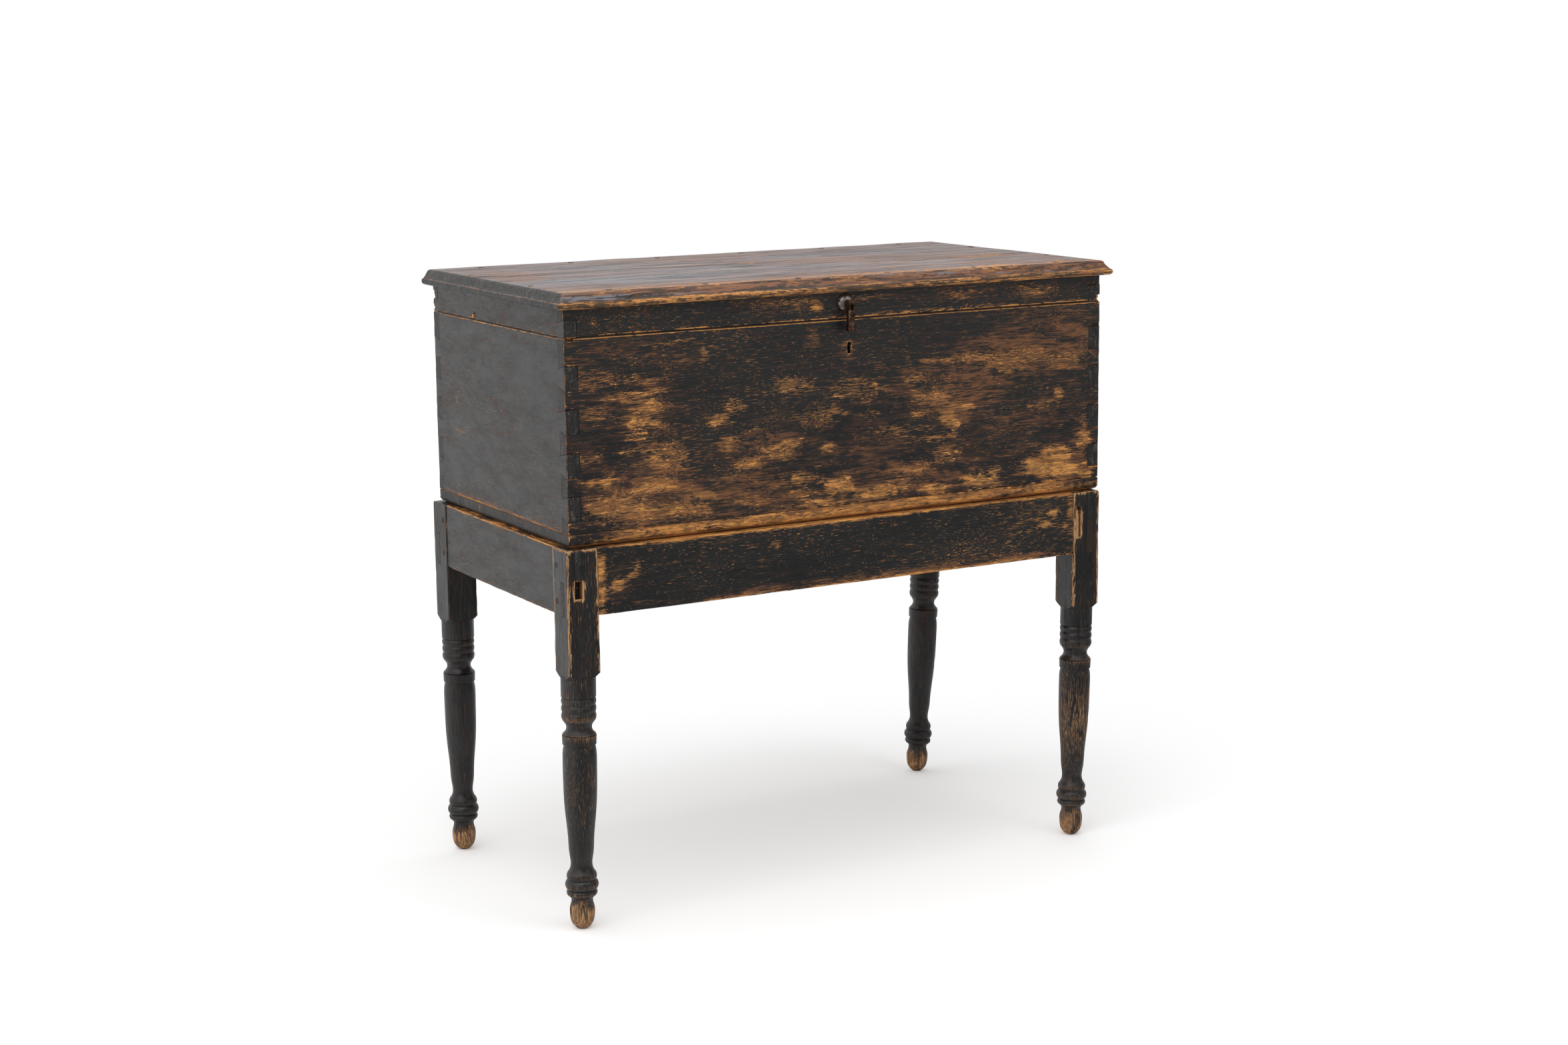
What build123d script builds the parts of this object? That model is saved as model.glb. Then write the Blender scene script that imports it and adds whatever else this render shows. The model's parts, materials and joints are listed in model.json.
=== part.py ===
from build123d import *

import math
import os

# Sugar chest: a dovetailed case with a hinged, moulded lid, on a stand of four turned legs.
# Millimetres. +X is the viewer's right, the front faces -Y and +Z is up. The origin is on the
# floor, under the middle of the chest's outline, so the case stands a little behind it.

# ---- Case -------------------------------------------------------------------------------------
case_width = 900.0
case_depth = 463.2
case_height = 272.3
board_thickness = 20.0
bottom_thickness = 19.6
bottom_nose = 8.0             # rounding of the bottom boards' lower edges
bottom_top_round = 2.5        # worn rounding of their upper edges
bottom_front_width = 166.0
bottom_middle_width = 144.0
shrink_gap = 0.8              # shrinkage gap between neighbouring bottom boards

# ---- Lid --------------------------------------------------------------------------------------
lid_rail_height = 39.5
lid_thickness = 22.5
lid_side_overhang = 14.0
lid_front_overhang = 14.5
lid_back_overhang = 9.5
bead_height = 9.6             # half-round bead along the lid's lower edge
bead_foot = 3.8               # where the bead meets the underside, in from its nose
bead_step = 2.0               # quirk between the bead and the hollow
bead_shelf = 0.8
hollow_run = 8.3              # the hollow's middle, in from the bead's nose
hollow_drop = 5.4             # and below the lid's top
mould_width = 16.0            # how far the moulding runs in over the top
lid_back_round = 3.0

# ---- Dovetails --------------------------------------------------------------------------------
tail_count = 4
tail_height = 35.0            # at the end of the side board
pin_height = 25.5             # between two tails, at the outer face
top_pin_height = 38.0         # half pin above the highest tail
tail_slope = 5.0              # how much each side of a tail narrows to its baseline
lid_tail_height = 24.5        # the one half tail at each end of a lid side rail
joint_gap = 0.1               # fit of glued and pegged joints

# ---- Stand ------------------------------------------------------------------------------------
stand_height = 550.8
stand_extra_width = 3.4       # the stand is this much wider than the case it carries
stand_extra_depth = 18.2      # and this much deeper
stand_shift = -7.3            # it sits a little to the left of the case
stand_forward = 11.6          # and its front stands ahead of the case's front
leg_square = 47.5
block_height = 184.5
pummel_room = 1.0             # between the block's corners and the cone that rounds them
rail_height = 95.5
rail_thickness = 21.0
rail_setback = 1.5            # rails lie this far behind the faces of the legs
tenon_thickness = 11.0
long_rail_tenon = 49.0        # height of the front and back rails' through tenons, from below
short_rail_tenon = 44.0       # height of the side rails' through tenons, from above
tenon_step_gap = 0.5          # between crossing tenons

# ---- Pegs -------------------------------------------------------------------------------------
peg_diameter = 8.5
peg_clearance = 0.05
peg_upper_drop = 25.0         # below the stand's top
peg_lower_rise = 20.0         # above the rails' lower edge
peg_near_arris = 14.0         # from the leg's outer corner, through the long tenon
peg_far_arris = 36.0          # from the leg's outer corner, through the stub
peg_short = 1.0               # pegs stop this far short of the rail's inner face
lost_peg_corner = "front_right"          # its upper front peg is lost, and its bore is open
split_width = 3.0             # open split below the lost peg's hole
split_length = 44.0
split_depth = 12.0
window_bottom = 481.6         # of the open slot under the front left leg's side tenon
window_depth = 22.0

# ---- Leg turning: radii, and heights above the floor ------------------------------------------
turning_overlap = 2.0         # of the turned column inside the block, and below a leaning foot
shoulder_radius = 24.9
groove_run = 1.2              # height of the slope from the shoulder into the first groove
ring_radius = 24.9
groove_radius = 23.4
ring_levels = (337.8, 327.4, 316.6)
third_ring_drop = 5.0         # from the third groove to the widest place of the ring below it
ring_foot_level = 303.0       # lower edge of the third, tapering ring
ring_foot_radius = 21.9
upper_neck_radius = 18.2
upper_neck_level = 293.8
flare_radius = 23.8           # top of the collar, where the flare from the neck ends
flare_level = 285.0
quirk_radius = 23.0           # fine groove between the flare and the collar's band
quirk_depth = 1.0             # height of each side of that groove
band_radius = 24.6
band_bottom = 270.2
band_taper = 0.4              # the band is this much narrower below
undercut_step = 0.8           # height of the step under the collar
undercut_radius = 22.6
vase_top = 268.0
vase_radii = ((23.8, 262.0), (24.4, 250.0), (24.3, 236.0), (24.0, 214.0), (23.3, 190.0),
              (21.8, 168.0), (19.9, 148.0), (18.6, 130.0), (17.3, 110.0))
ankle_radius = 15.7
ankle_level = 93.0
foot_ring_levels = (82.8, 72.5, 57.6, 49.2)
foot_ring_radii = (21.6, 23.9, 22.1)
foot_groove_radius = 20.2
lower_neck_radius = 15.3
lower_neck_level = 41.8
ball_radii = ((17.8, 31.0), (18.1, 24.5), (17.4, 16.0), (15.9, 10.2), (13.8, 6.4), (11.4, 3.4))
foot_radius = 7.0
leg_leans = {"front_left": 0.45, "front_right": 1.2, "back_left": 0.2, "back_right": 2.9}

# ---- Divider ----------------------------------------------------------------------------------
divider_thickness = 14.0
divider_height = 228.0
divider_position = 128.0
dado_depth = 6.0
dado_gap = 0.3

# ---- Pull -------------------------------------------------------------------------------------
pull_position = -3.0
pull_height = 23.8            # of its post, above the seam
pull_stand_off = 14.5         # from the rail's face to the pivot
rosette_radius = 12.8
rosette_height = 7.0
rosette_rim = 1.2
dome_radius = 9.0             # a point of the rosette's dome: its radius and height
dome_height = 5.5
post_radius = 3.0
knuckle_radius = 4.5
knuckle_width = 4.0
fork_gap = 0.3                # on each side of the knuckle
ear_thickness = 2.6
ear_radius = 4.8
pull_pin_radius = 1.5
drop_neck = 10.0              # from the pivot to the top of the upper collar
collar_size = 11.4
barrel_size = 10.2
lower_collar_size = 12.0
upper_collar_height = 8.6
barrel_height = 13.4
lower_collar_height = 8.2
facet = 1.6                   # chamfered corners of the drop
nut_size = 11.0
nut_height = 4.0
nut_turn = 12.0               # the hand-tightened nut stands a little askew
nut_chamfer = 0.8
post_end = 1.5                # of the post beyond its nut
ear_clearance = 0.8           # from the ears' round ends to the post's round stem
tongue_root = 0.4             # of the post's flat tongue inside its stem
collar_bevel = 1.4

# ---- Hinges -----------------------------------------------------------------------------------
hinge_inset = 150.0           # from the case's side to the middle of the hinge
hinge_length = 64.0
leaf_width = 17.0
leaf_thickness = 2.0
barrel_radius = 3.6
barrel_clearance = 0.4        # from the barrel to the boards behind it
knuckle_count = 5
knuckle_clearance = 0.3
hinge_pin_radius = 1.75
hinge_pin_head = 0.8
tight_fit = 0.02
running_fit = 0.06
screw_radius = 1.6
screw_head_radius = 3.3
screw_length = 14.0
screw_slot = 0.8
screw_tip = 3.0
screw_pitch = 22.0

# ---- Lock -------------------------------------------------------------------------------------
lock_position = 3.3
keyhole_radius = 3.0
keyhole_drop = 37.0           # centre of the round top, below the case's upper edge
keyhole_slit = 4.6
keyhole_height = 16.5
lock_width = 76.0
lock_height = 56.0
lock_depth = 12.0
lock_wall = 1.6
lock_plate = 2.0
lock_flange = 10.0
lock_play = 0.4
bolt_height = 5.0
bolt_thickness = 4.0
loop_play = 0.9               # between the bolt and the keeper's loop
bolt_length = 31.0
bolt_drop = 9.0               # centre of the bolt below the seam
bolt_start = 3.4              # from the bolt's end to the middle of the keeper's loop, unlocked
keeper_width = 34.0
keeper_plate = 1.8
loop_thickness = 3.0
loop_width = 8.0
loop_drop = 13.4
key_pin_radius = 1.4
spring_thickness = 0.8
spring_foot = 6.0             # length of the spring's foot along the lock's top wall
spring_back = 4.0             # from the bolt's end back to the spring's free end
talon_reach = 24.0            # from the bolt's end to its talon
talon_width = 10.0
talon_drop = 8.0
bolt_lead = 0.8               # chamfer of the bolt's end
lock_screw_edge = 9.0
keeper_screw_x = 11.5

# ---- Nails ------------------------------------------------------------------------------------
nail_shank = 2.8
nail_head = 6.0
nail_head_height = 1.2
nail_length = 45.0
nail_edge = 10.0              # from the board's face to the middle of the nail's row
case_nails_long = 5
case_nails_short = 2
lid_nails_long = 6
lid_nails_short = 2

# ---- Levels and faces that follow -------------------------------------------------------------
rail_bottom = stand_height - rail_height
shoulder_level = stand_height - block_height
case_base = stand_height + bottom_thickness
seam = case_base + case_height
lid_base = seam + lid_rail_height
lid_top = lid_base + lid_thickness
pull_reach = pull_stand_off + lower_collar_size / 2
case_front = pull_reach - (case_depth + lid_back_overhang + pull_reach) / 2
case_back = case_front + case_depth
case_left = -case_width / 2
case_right = case_width / 2
case_middle = (case_front + case_back) / 2
inner_front = case_front + board_thickness
inner_back = case_back - board_thickness
inner_depth = inner_back - inner_front
stand_width = case_width + stand_extra_width
stand_depth = case_depth + stand_extra_depth
stand_left = stand_shift - stand_width / 2
stand_right = stand_left + stand_width
stand_front = case_front - stand_forward
stand_back = stand_front + stand_depth
tenon_inner = rail_setback + rail_thickness              # from a leg's face to its tenon's back
tenon_centre = tenon_inner - tenon_thickness / 2
leg_corners = {
    "front_left": (-1, -1), "front_right": (1, -1), "back_left": (-1, 1), "back_right": (1, 1),
}
pieces = []


def save(part, name):
    """Label a finished piece and write it to its own STEP file."""
    part.label = name
    export_step(part, f"parts/{name}.step")
    pieces.append(name)


def pocket(plane, centre, width, height, depth):
    """A rectangular cutter: centred at a point of the plane, and deep along its normal."""
    with BuildPart() as cutter:
        with BuildSketch(plane):
            with Locations(centre):
                Rectangle(width, height)
        extrude(amount=depth)
    return cutter.part


def x_face(side):
    """Outer side face of the stand: -1 is the left one."""
    return stand_left if side < 0 else stand_right


def y_face(face):
    """Outer front or back face of the stand: -1 is the front one."""
    return stand_front if face < 0 else stand_back


# ---- Stand: tenons ----------------------------------------------------------------------------
def long_tenon(face, gap):
    """Tenon board of the front or back rail: its lower half runs through both legs."""
    step = tenon_inner + tenon_step_gap
    low = rail_bottom - gap
    middle = rail_bottom + long_rail_tenon + gap
    outline = [
        (stand_left, low), (stand_right, low), (stand_right, middle),
        (stand_right - step + gap, middle), (stand_right - step + gap, stand_height),
        (stand_left + step - gap, stand_height), (stand_left + step - gap, middle),
        (stand_left, middle),
    ]
    with BuildPart() as board:
        with BuildSketch(Plane.XZ.offset(-y_face(face) - tenon_centre * -face)):
            with BuildLine():
                Polyline(*outline, close=True)
            make_face()
        extrude(amount=tenon_thickness / 2 + gap, both=True)
    return board.part


def short_tenon(side, gap):
    """Tenon board of a side rail: its upper half runs through both legs, over the long tenons."""
    step = tenon_inner + tenon_step_gap
    low = rail_bottom - gap
    middle = stand_height - short_rail_tenon - gap
    outline = [
        (stand_front, middle), (stand_front + step - gap, middle), (stand_front + step - gap, low),
        (stand_back - step + gap, low), (stand_back - step + gap, middle), (stand_back, middle),
        (stand_back, stand_height), (stand_front, stand_height),
    ]
    with BuildPart() as board:
        with BuildSketch(Plane.YZ.offset(x_face(side) - side * tenon_centre)):
            with BuildLine():
                Polyline(*outline, close=True)
            make_face()
        extrude(amount=tenon_thickness / 2 + gap, both=True)
    return board.part


# ---- Stand: pegs ------------------------------------------------------------------------------
def peg_rods(corner, radius, lost=False):
    """Pegs of one leg: two through its front or back face and two through its side face."""
    side, face = leg_corners[corner]
    upper = stand_height - peg_upper_drop
    lower = rail_bottom + peg_lower_rise
    depth = tenon_inner - peg_short
    end_x = x_face(side)
    end_y = y_face(face)
    lower_inset = peg_far_arris if corner == lost_peg_corner else peg_near_arris
    end_places = [(end_x - side * lower_inset, lower)]
    if not lost:
        end_places.append((end_x - side * peg_far_arris, upper))
    side_y = end_y - face * peg_far_arris
    with BuildPart() as rods:
        with BuildSketch(Plane.XZ.offset(-end_y)):
            with Locations(*end_places):
                Circle(radius)
        extrude(amount=face * depth)
        with BuildSketch(Plane.YZ.offset(end_x)):
            with Locations((side_y, upper), (side_y, lower)):
                Circle(radius)
        extrude(amount=-side * depth)
    return rods.part


with BuildPart() as tenon_pegs:
    for corner in leg_corners:
        add(peg_rods(corner, peg_diameter / 2, corner == lost_peg_corner))
save(tenon_pegs.part, "tenon_pegs")


# ---- Stand: legs ------------------------------------------------------------------------------
def ring(top, bottom, radius, seat):
    """One turned ring, from its upper to its lower groove."""
    ThreePointArc((seat, top), (radius, (top + bottom) / 2), (seat, bottom))


def turned_profile():
    """Half outline of the turning: radius along X, height above the floor along Y."""
    buried = shoulder_level + turning_overlap
    first, second, third = ring_levels
    with BuildLine() as outline:
        Polyline((0, buried), (shoulder_radius, buried), (shoulder_radius, first + groove_run),
                 (groove_radius, first))
        ring(first, second, ring_radius, groove_radius)
        ring(second, third, ring_radius, groove_radius)
        ThreePointArc((groove_radius, third), (ring_radius, third - third_ring_drop),
                      (ring_foot_radius, ring_foot_level))
        Spline((ring_foot_radius, ring_foot_level), (upper_neck_radius, upper_neck_level),
               (flare_radius, flare_level))
        Polyline((flare_radius, flare_level), (quirk_radius, flare_level - quirk_depth),
                 (band_radius, flare_level - 2 * quirk_depth), (band_radius - band_taper, band_bottom),
                 (undercut_radius, band_bottom - undercut_step), (undercut_radius, vase_top))
        high, upper, lower, low = foot_ring_levels
        Spline((undercut_radius, vase_top), *vase_radii, (ankle_radius, ankle_level),
               (foot_groove_radius, high))
        ring(high, upper, foot_ring_radii[0], foot_groove_radius)
        ring(upper, lower, foot_ring_radii[1], foot_groove_radius)
        ring(lower, low, foot_ring_radii[2], foot_groove_radius)
        Spline((foot_groove_radius, low), (lower_neck_radius, lower_neck_level), *ball_radii,
               (foot_radius, 0.0))
        Polyline((foot_radius, 0.0), (foot_radius - turning_overlap, -turning_overlap),
                 (0, -turning_overlap), (0, buried))
    return outline.line


profile = turned_profile()


def leg(corner, cuts):
    """Square block with its pummel shoulder, mortised for two rails, over a turned column."""
    side, face = leg_corners[corner]
    x = x_face(side) - side * leg_square / 2
    y = y_face(face) - face * leg_square / 2
    lean = math.radians(leg_leans[corner])
    # The turning pivots about the shoulder: old legs have warped a degree or two.
    root = Vector(x, y, shoulder_level)
    up = Vector(math.sin(lean), 0, math.cos(lean))
    foot = root - up * shoulder_level
    corner_radius = leg_square * math.sqrt(2) / 2 + pummel_room
    cone_height = corner_radius - shoulder_radius
    tenons = (long_tenon(face, joint_gap), short_tenon(side, joint_gap))
    with BuildPart() as column:
        with BuildSketch(Plane.XY.offset(shoulder_level)):
            with Locations((x, y)):
                Rectangle(leg_square, leg_square)
        extrude(amount=block_height)
        # The lathe rounds the block's four corners where the turning starts.
        with BuildSketch(Plane((x, y, shoulder_level), x_dir=(1, 0, 0), z_dir=(0, -1, 0))):
            with BuildLine():
                Polyline((0, 0), (shoulder_radius, 0), (corner_radius, cone_height),
                         (corner_radius, block_height), (0, block_height), close=True)
            make_face()
        revolve(axis=Axis((x, y, 0), (0, 0, 1)), mode=Mode.INTERSECT)
        with BuildSketch(Plane(foot, x_dir=(math.cos(lean), 0, -math.sin(lean)), z_dir=(0, -1, 0))):
            add(profile)
            make_face()
        revolve(axis=Axis(foot, up))
        split(bisect_by=Plane.XY, keep=Keep.TOP)
        for cutter in (*tenons, peg_bores[corner], *cuts):
            add(cutter, mode=Mode.SUBTRACT)
    return column


# The front left leg's side mortise was cut too deep, and stands open under its tenon. In the front
# right leg it runs to the rail's lower edge, with a slip let in, and a split hangs from the bore
# of the lost peg.
front_plane = Plane.XZ.offset(-stand_front)
left_window = pocket(
    front_plane,
    (stand_left + tenon_centre, (window_bottom + stand_height) / 2),
    tenon_thickness + 2 * joint_gap, stand_height - window_bottom, -window_depth,
)
slip_top = stand_height - short_rail_tenon - joint_gap
slip_height = slip_top - rail_bottom
slip_centre = (stand_right - tenon_centre, rail_bottom + slip_height / 2)
slip_depth = tenon_inner - tenon_thickness - joint_gap
slip_slot = pocket(
    front_plane, slip_centre, tenon_thickness + 2 * joint_gap, slip_height + 2 * joint_gap,
    -slip_depth - joint_gap,
)
split_centre = (stand_right - peg_far_arris, stand_height - peg_upper_drop - split_length / 2)
peg_split = pocket(front_plane, split_centre, split_width, split_length, -split_depth)
corner_cuts = {"front_left": (left_window,), "front_right": (slip_slot, peg_split)}
peg_bores = {corner: peg_rods(corner, peg_diameter / 2 + peg_clearance) for corner in leg_corners}

for corner in leg_corners:
    save(leg(corner, corner_cuts.get(corner, ())).part, f"leg_{corner}")

with BuildPart() as mortise_slip:
    with BuildSketch(front_plane):
        with Locations(slip_centre):
            Rectangle(tenon_thickness, slip_height)
    extrude(amount=-slip_depth)
save(mortise_slip.part, "mortise_slip")


# ---- Stand: rails -----------------------------------------------------------------------------
def rail(member, mid_plane, centre, span, corners):
    """A rail: its body between the legs on the line of its long tenon board."""
    with BuildPart() as board:
        with BuildSketch(mid_plane):
            with Locations((centre, stand_height - rail_height / 2)):
                Rectangle(span, rail_height)
        extrude(amount=rail_thickness / 2, both=True)
        add(member)
        for corner in corners:
            add(peg_bores[corner], mode=Mode.SUBTRACT)
    return board


long_span = stand_width - 2 * leg_square
short_span = stand_depth - 2 * leg_square
rail_offset = rail_setback + rail_thickness / 2
for name, face in (("front", -1), ("back", 1)):
    mid = y_face(face) - face * rail_offset
    board = rail(long_tenon(face, 0), Plane.XZ.offset(-mid), (stand_left + stand_right) / 2,
                 long_span, (f"{name}_left", f"{name}_right"))
    save(board.part, f"rail_{name}")
for name, side in (("left", -1), ("right", 1)):
    mid = x_face(side) - side * rail_offset
    board = rail(short_tenon(side, 0), Plane.YZ.offset(mid), (stand_front + stand_back) / 2,
                 short_span, (f"front_{name}", f"back_{name}"))
    save(board.part, f"rail_{name}")


# ---- Nails ------------------------------------------------------------------------------------
front_joint = case_front + bottom_front_width
back_joint = front_joint + bottom_middle_width
long_rows = (case_front + nail_edge, case_back - nail_edge)
short_rows = (case_left + nail_edge, case_right - nail_edge)
bottom_strips = ((inner_front, front_joint), (front_joint, back_joint), (back_joint, inner_back))


def spread(low, high, count):
    """Evenly spaced places, half a pitch in from both ends."""
    pitch = (high - low) / count
    return [low + (i + 0.5) * pitch for i in range(count)]


def nails(places, head_level, direction):
    """Cut nails with square shanks, driven along Z with their heads flush at head_level."""
    with BuildPart() as group:
        with BuildSketch(Plane.XY.offset(head_level)):
            with Locations(*places):
                Rectangle(nail_head, nail_head)
        extrude(amount=direction * nail_head_height)
        with BuildSketch(Plane.XY.offset(head_level)):
            with Locations(*places):
                Rectangle(nail_shank, nail_shank)
        extrude(amount=direction * nail_length)
    return group.part


bottom_places = [
    (x, y) for y in long_rows for x in spread(case_left, case_right, case_nails_long)
]
bottom_places += [
    (x, y) for x in short_rows for low, high in bottom_strips
    for y in spread(low, high, case_nails_short)
]
lid_places = [(x, y) for y in long_rows for x in spread(case_left, case_right, lid_nails_long)]
lid_places += [
    (x, y) for x in short_rows for y in spread(inner_front, inner_back, lid_nails_short)
]
bottom_nails = nails(bottom_places, stand_height, 1)
lid_nails = nails(lid_places, lid_top, -1)
save(bottom_nails, "bottom_nails")
save(lid_nails, "lid_nails")


# ---- Screws -----------------------------------------------------------------------------------
def screw(slot):
    """A countersunk wood screw, head up at the origin. Without its slot it bores the wood."""
    taper = screw_head_radius - screw_radius
    with BuildPart() as body:
        with BuildSketch(Plane.XZ):
            with BuildLine():
                Polyline((0, 0), (screw_head_radius, 0), (screw_radius, -taper),
                         (screw_radius, screw_tip - screw_length), (0, -screw_length), close=True)
            make_face()
        revolve(axis=Axis.Z)
        if slot:
            with BuildSketch():
                Rectangle(2 * screw_head_radius, slot)
            extrude(amount=-slot, mode=Mode.SUBTRACT)
    return body.part


def screws(places, slot):
    """The same screw at several places, as one group of solids."""
    one = screw(slot)
    with BuildPart() as group:
        with Locations(*places):
            add(one)
    return group.part


def driven(places, name):
    """Save a group of screws, and return the group without slots, to bore what it holds."""
    save(screws(places, screw_slot), name)
    return screws(places, 0)


screw_row = [(-screw_pitch, 0), (0, 0), (screw_pitch, 0)]
leaf_middle = case_back - leaf_width / 2
hinge_places = {"left": case_left + hinge_inset, "right": case_right - hinge_inset}
case_screw_places = [
    Location((x + shift, leaf_middle, seam)) for x in hinge_places.values() for shift, _ in screw_row
]
lid_screw_places = [
    Location(place.position, (180, 0, 0)) for place in case_screw_places
]
case_hinge_bores = driven(case_screw_places, "hinge_screws_case")
lid_hinge_bores = driven(lid_screw_places, "hinge_screws_lid")


# ---- Lid hinges -------------------------------------------------------------------------------
hinge_axis_y = case_back + barrel_radius + barrel_clearance
knuckle_length = hinge_length / knuckle_count
leaf_edge = case_back - leaf_width


def barrel_disc(x, radius):
    """A circle round the hinge's axis, in the YZ plane at x."""
    with BuildSketch(Plane.YZ.offset(x)) as disc:
        with Locations((hinge_axis_y, seam)):
            Circle(radius)
    return disc.sketch


def hinge_leaf(x, direction, parity, bore, screw_bores):
    """A butt hinge's leaf, let in flush at the seam, with its knuckles outside the back."""
    start = x - hinge_length / 2
    room = knuckle_clearance / 2
    with BuildPart() as leaf:
        with BuildSketch(Plane.XY.offset(seam)):
            with Locations((x, (leaf_edge + case_back) / 2)):
                Rectangle(hinge_length, leaf_width)
            for i in range(parity, knuckle_count, 2):
                with Locations((start + (i + 0.5) * knuckle_length, (case_back + hinge_axis_y) / 2)):
                    Rectangle(knuckle_length - 2 * room, hinge_axis_y - case_back)
        extrude(amount=direction * leaf_thickness)
        for i in range(parity, knuckle_count, 2):
            knuckle = barrel_disc(start + i * knuckle_length + room, barrel_radius)
            extrude(knuckle, amount=knuckle_length - 2 * room)
        extrude(barrel_disc(x, hinge_pin_radius + bore), amount=hinge_length, both=True,
                mode=Mode.SUBTRACT)
        add(screw_bores, mode=Mode.SUBTRACT)
    return leaf.part


def gain(x, direction):
    """The shallow seat of a leaf in the edge of its board."""
    return pocket(Plane.XY.offset(seam), (x, (leaf_edge + case_back) / 2),
                  hinge_length + 2 * joint_gap, leaf_width + joint_gap,
                  direction * (leaf_thickness + joint_gap))


for name, x in hinge_places.items():
    save(hinge_leaf(x, -1, 0, tight_fit, case_hinge_bores), f"hinge_{name}_case_leaf")
    save(hinge_leaf(x, 1, 1, running_fit, lid_hinge_bores), f"hinge_{name}_lid_leaf")
    with BuildPart() as hinge_pin:
        extrude(barrel_disc(x, hinge_pin_radius), amount=hinge_length / 2, both=True)
        for end in (-1, 1):
            cap = barrel_disc(x + end * hinge_length / 2, hinge_pin_radius + hinge_pin_head)
            extrude(cap, amount=end * hinge_pin_head)
    save(hinge_pin.part, f"hinge_{name}_pin")


# ---- Lock, let into the inner face of the front board -----------------------------------------
lock_bottom = seam - lock_height
lock_middle = (seam + lock_bottom) / 2
lock_outer = inner_front - lock_depth
lock_mid_y = (lock_outer + inner_front) / 2
bolt_level = seam - bolt_drop
keyhole_level = seam - keyhole_drop
slit_bottom = keyhole_level + keyhole_radius - keyhole_height
inner_plane = Plane.XZ.offset(-inner_front)


def keyhole(plane):
    """Keyhole outline: a round top over a narrower slit."""
    with BuildSketch(plane) as outline:
        with Locations((lock_position, keyhole_level)):
            Circle(keyhole_radius)
        with Locations((lock_position, (keyhole_level + slit_bottom) / 2)):
            Rectangle(keyhole_slit, keyhole_level - slit_bottom)
    return outline.sketch


lock_recess = pocket(inner_plane, (lock_position, lock_middle), lock_width + 2 * lock_play,
                     lock_height + 2 * lock_play, lock_depth + joint_gap)
with BuildPart() as keyhole_cut:
    extrude(keyhole(Plane.XZ.offset(-case_front)), amount=-board_thickness)

screw_x = (lock_width + lock_flange) / 2
lock_screw_places = [
    Location((lock_position + side * screw_x, inner_front + lock_plate, level), (-90, 0, 0))
    for side in (-1, 1) for level in (lock_bottom + lock_screw_edge, seam - lock_screw_edge)
]
lock_bores = driven(lock_screw_places, "lock_screws")

with BuildPart() as lock_case:
    with BuildSketch(inner_plane):
        with Locations((lock_position, lock_middle)):
            Rectangle(lock_width, lock_height)
    extrude(amount=lock_depth)
    with BuildSketch(inner_plane):
        with Locations((lock_position, lock_middle)):
            Rectangle(lock_width - 2 * lock_wall, lock_height - 2 * lock_wall)
    extrude(amount=lock_depth - lock_wall, mode=Mode.SUBTRACT)
    with BuildSketch(inner_plane):
        with Locations((lock_position, lock_middle)):
            Rectangle(lock_width + 2 * lock_flange, lock_height)
    extrude(amount=-lock_plate)
    with BuildSketch(Plane.XY.offset(seam)):
        with Locations((lock_position, lock_mid_y)):
            Rectangle(loop_thickness + 4 * lock_play, loop_width + 2 * lock_play)
    extrude(amount=-lock_wall, mode=Mode.SUBTRACT)
    extrude(keyhole(Plane.XZ.offset(-lock_outer)), amount=-lock_wall, mode=Mode.SUBTRACT)
    with BuildSketch(inner_plane):
        with Locations((lock_position, keyhole_level)):
            Circle(key_pin_radius)
    extrude(amount=lock_depth)
    add(lock_bores, mode=Mode.SUBTRACT)
save(lock_case.part, "lock_case")

# The bolt slides towards +X, through the keeper's loop. Its talon hangs over the key's path.
bolt_end = lock_position - bolt_start
bolt_top = bolt_level + bolt_height / 2
bolt_low = bolt_level - bolt_height / 2
talon_left = bolt_end - talon_reach
talon_right = talon_left + talon_width
with BuildPart() as lock_bolt:
    with BuildSketch(Plane.XZ.offset(-lock_mid_y)):
        with BuildLine():
            Polyline(
                (bolt_end - bolt_length, bolt_low), (talon_left, bolt_low),
                (talon_left, bolt_low - talon_drop), (talon_right, bolt_low - talon_drop),
                (talon_right, bolt_low), (bolt_end, bolt_low), (bolt_end, bolt_top),
                (bolt_end - bolt_length, bolt_top), close=True,
            )
        make_face()
    extrude(amount=bolt_thickness / 2, both=True)
    chamfer(lock_bolt.faces().sort_by(Axis.X)[-1].edges(), bolt_lead)
save(lock_bolt.part, "lock_bolt")

# A bent leaf spring, held at the lock's side wall, lies over the bolt's back.
spring_left = lock_position - lock_width / 2 + lock_wall
spring_low = bolt_top + lock_play
spring_high = seam - lock_wall
with BuildPart() as lock_spring:
    with BuildSketch(Plane.XZ.offset(-lock_mid_y)):
        with BuildLine():
            Polyline(
                (spring_left, spring_high), (spring_left, spring_high - 2 * spring_thickness),
                (bolt_end - bolt_length / 2, spring_low), (bolt_end - spring_back, spring_low),
                (bolt_end - spring_back, spring_low + spring_thickness),
                (bolt_end - bolt_length / 2, spring_low + spring_thickness),
                (spring_left + spring_foot, spring_high), close=True,
            )
        make_face()
    extrude(amount=bolt_thickness / 2, both=True)
save(lock_spring.part, "lock_spring")


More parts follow.
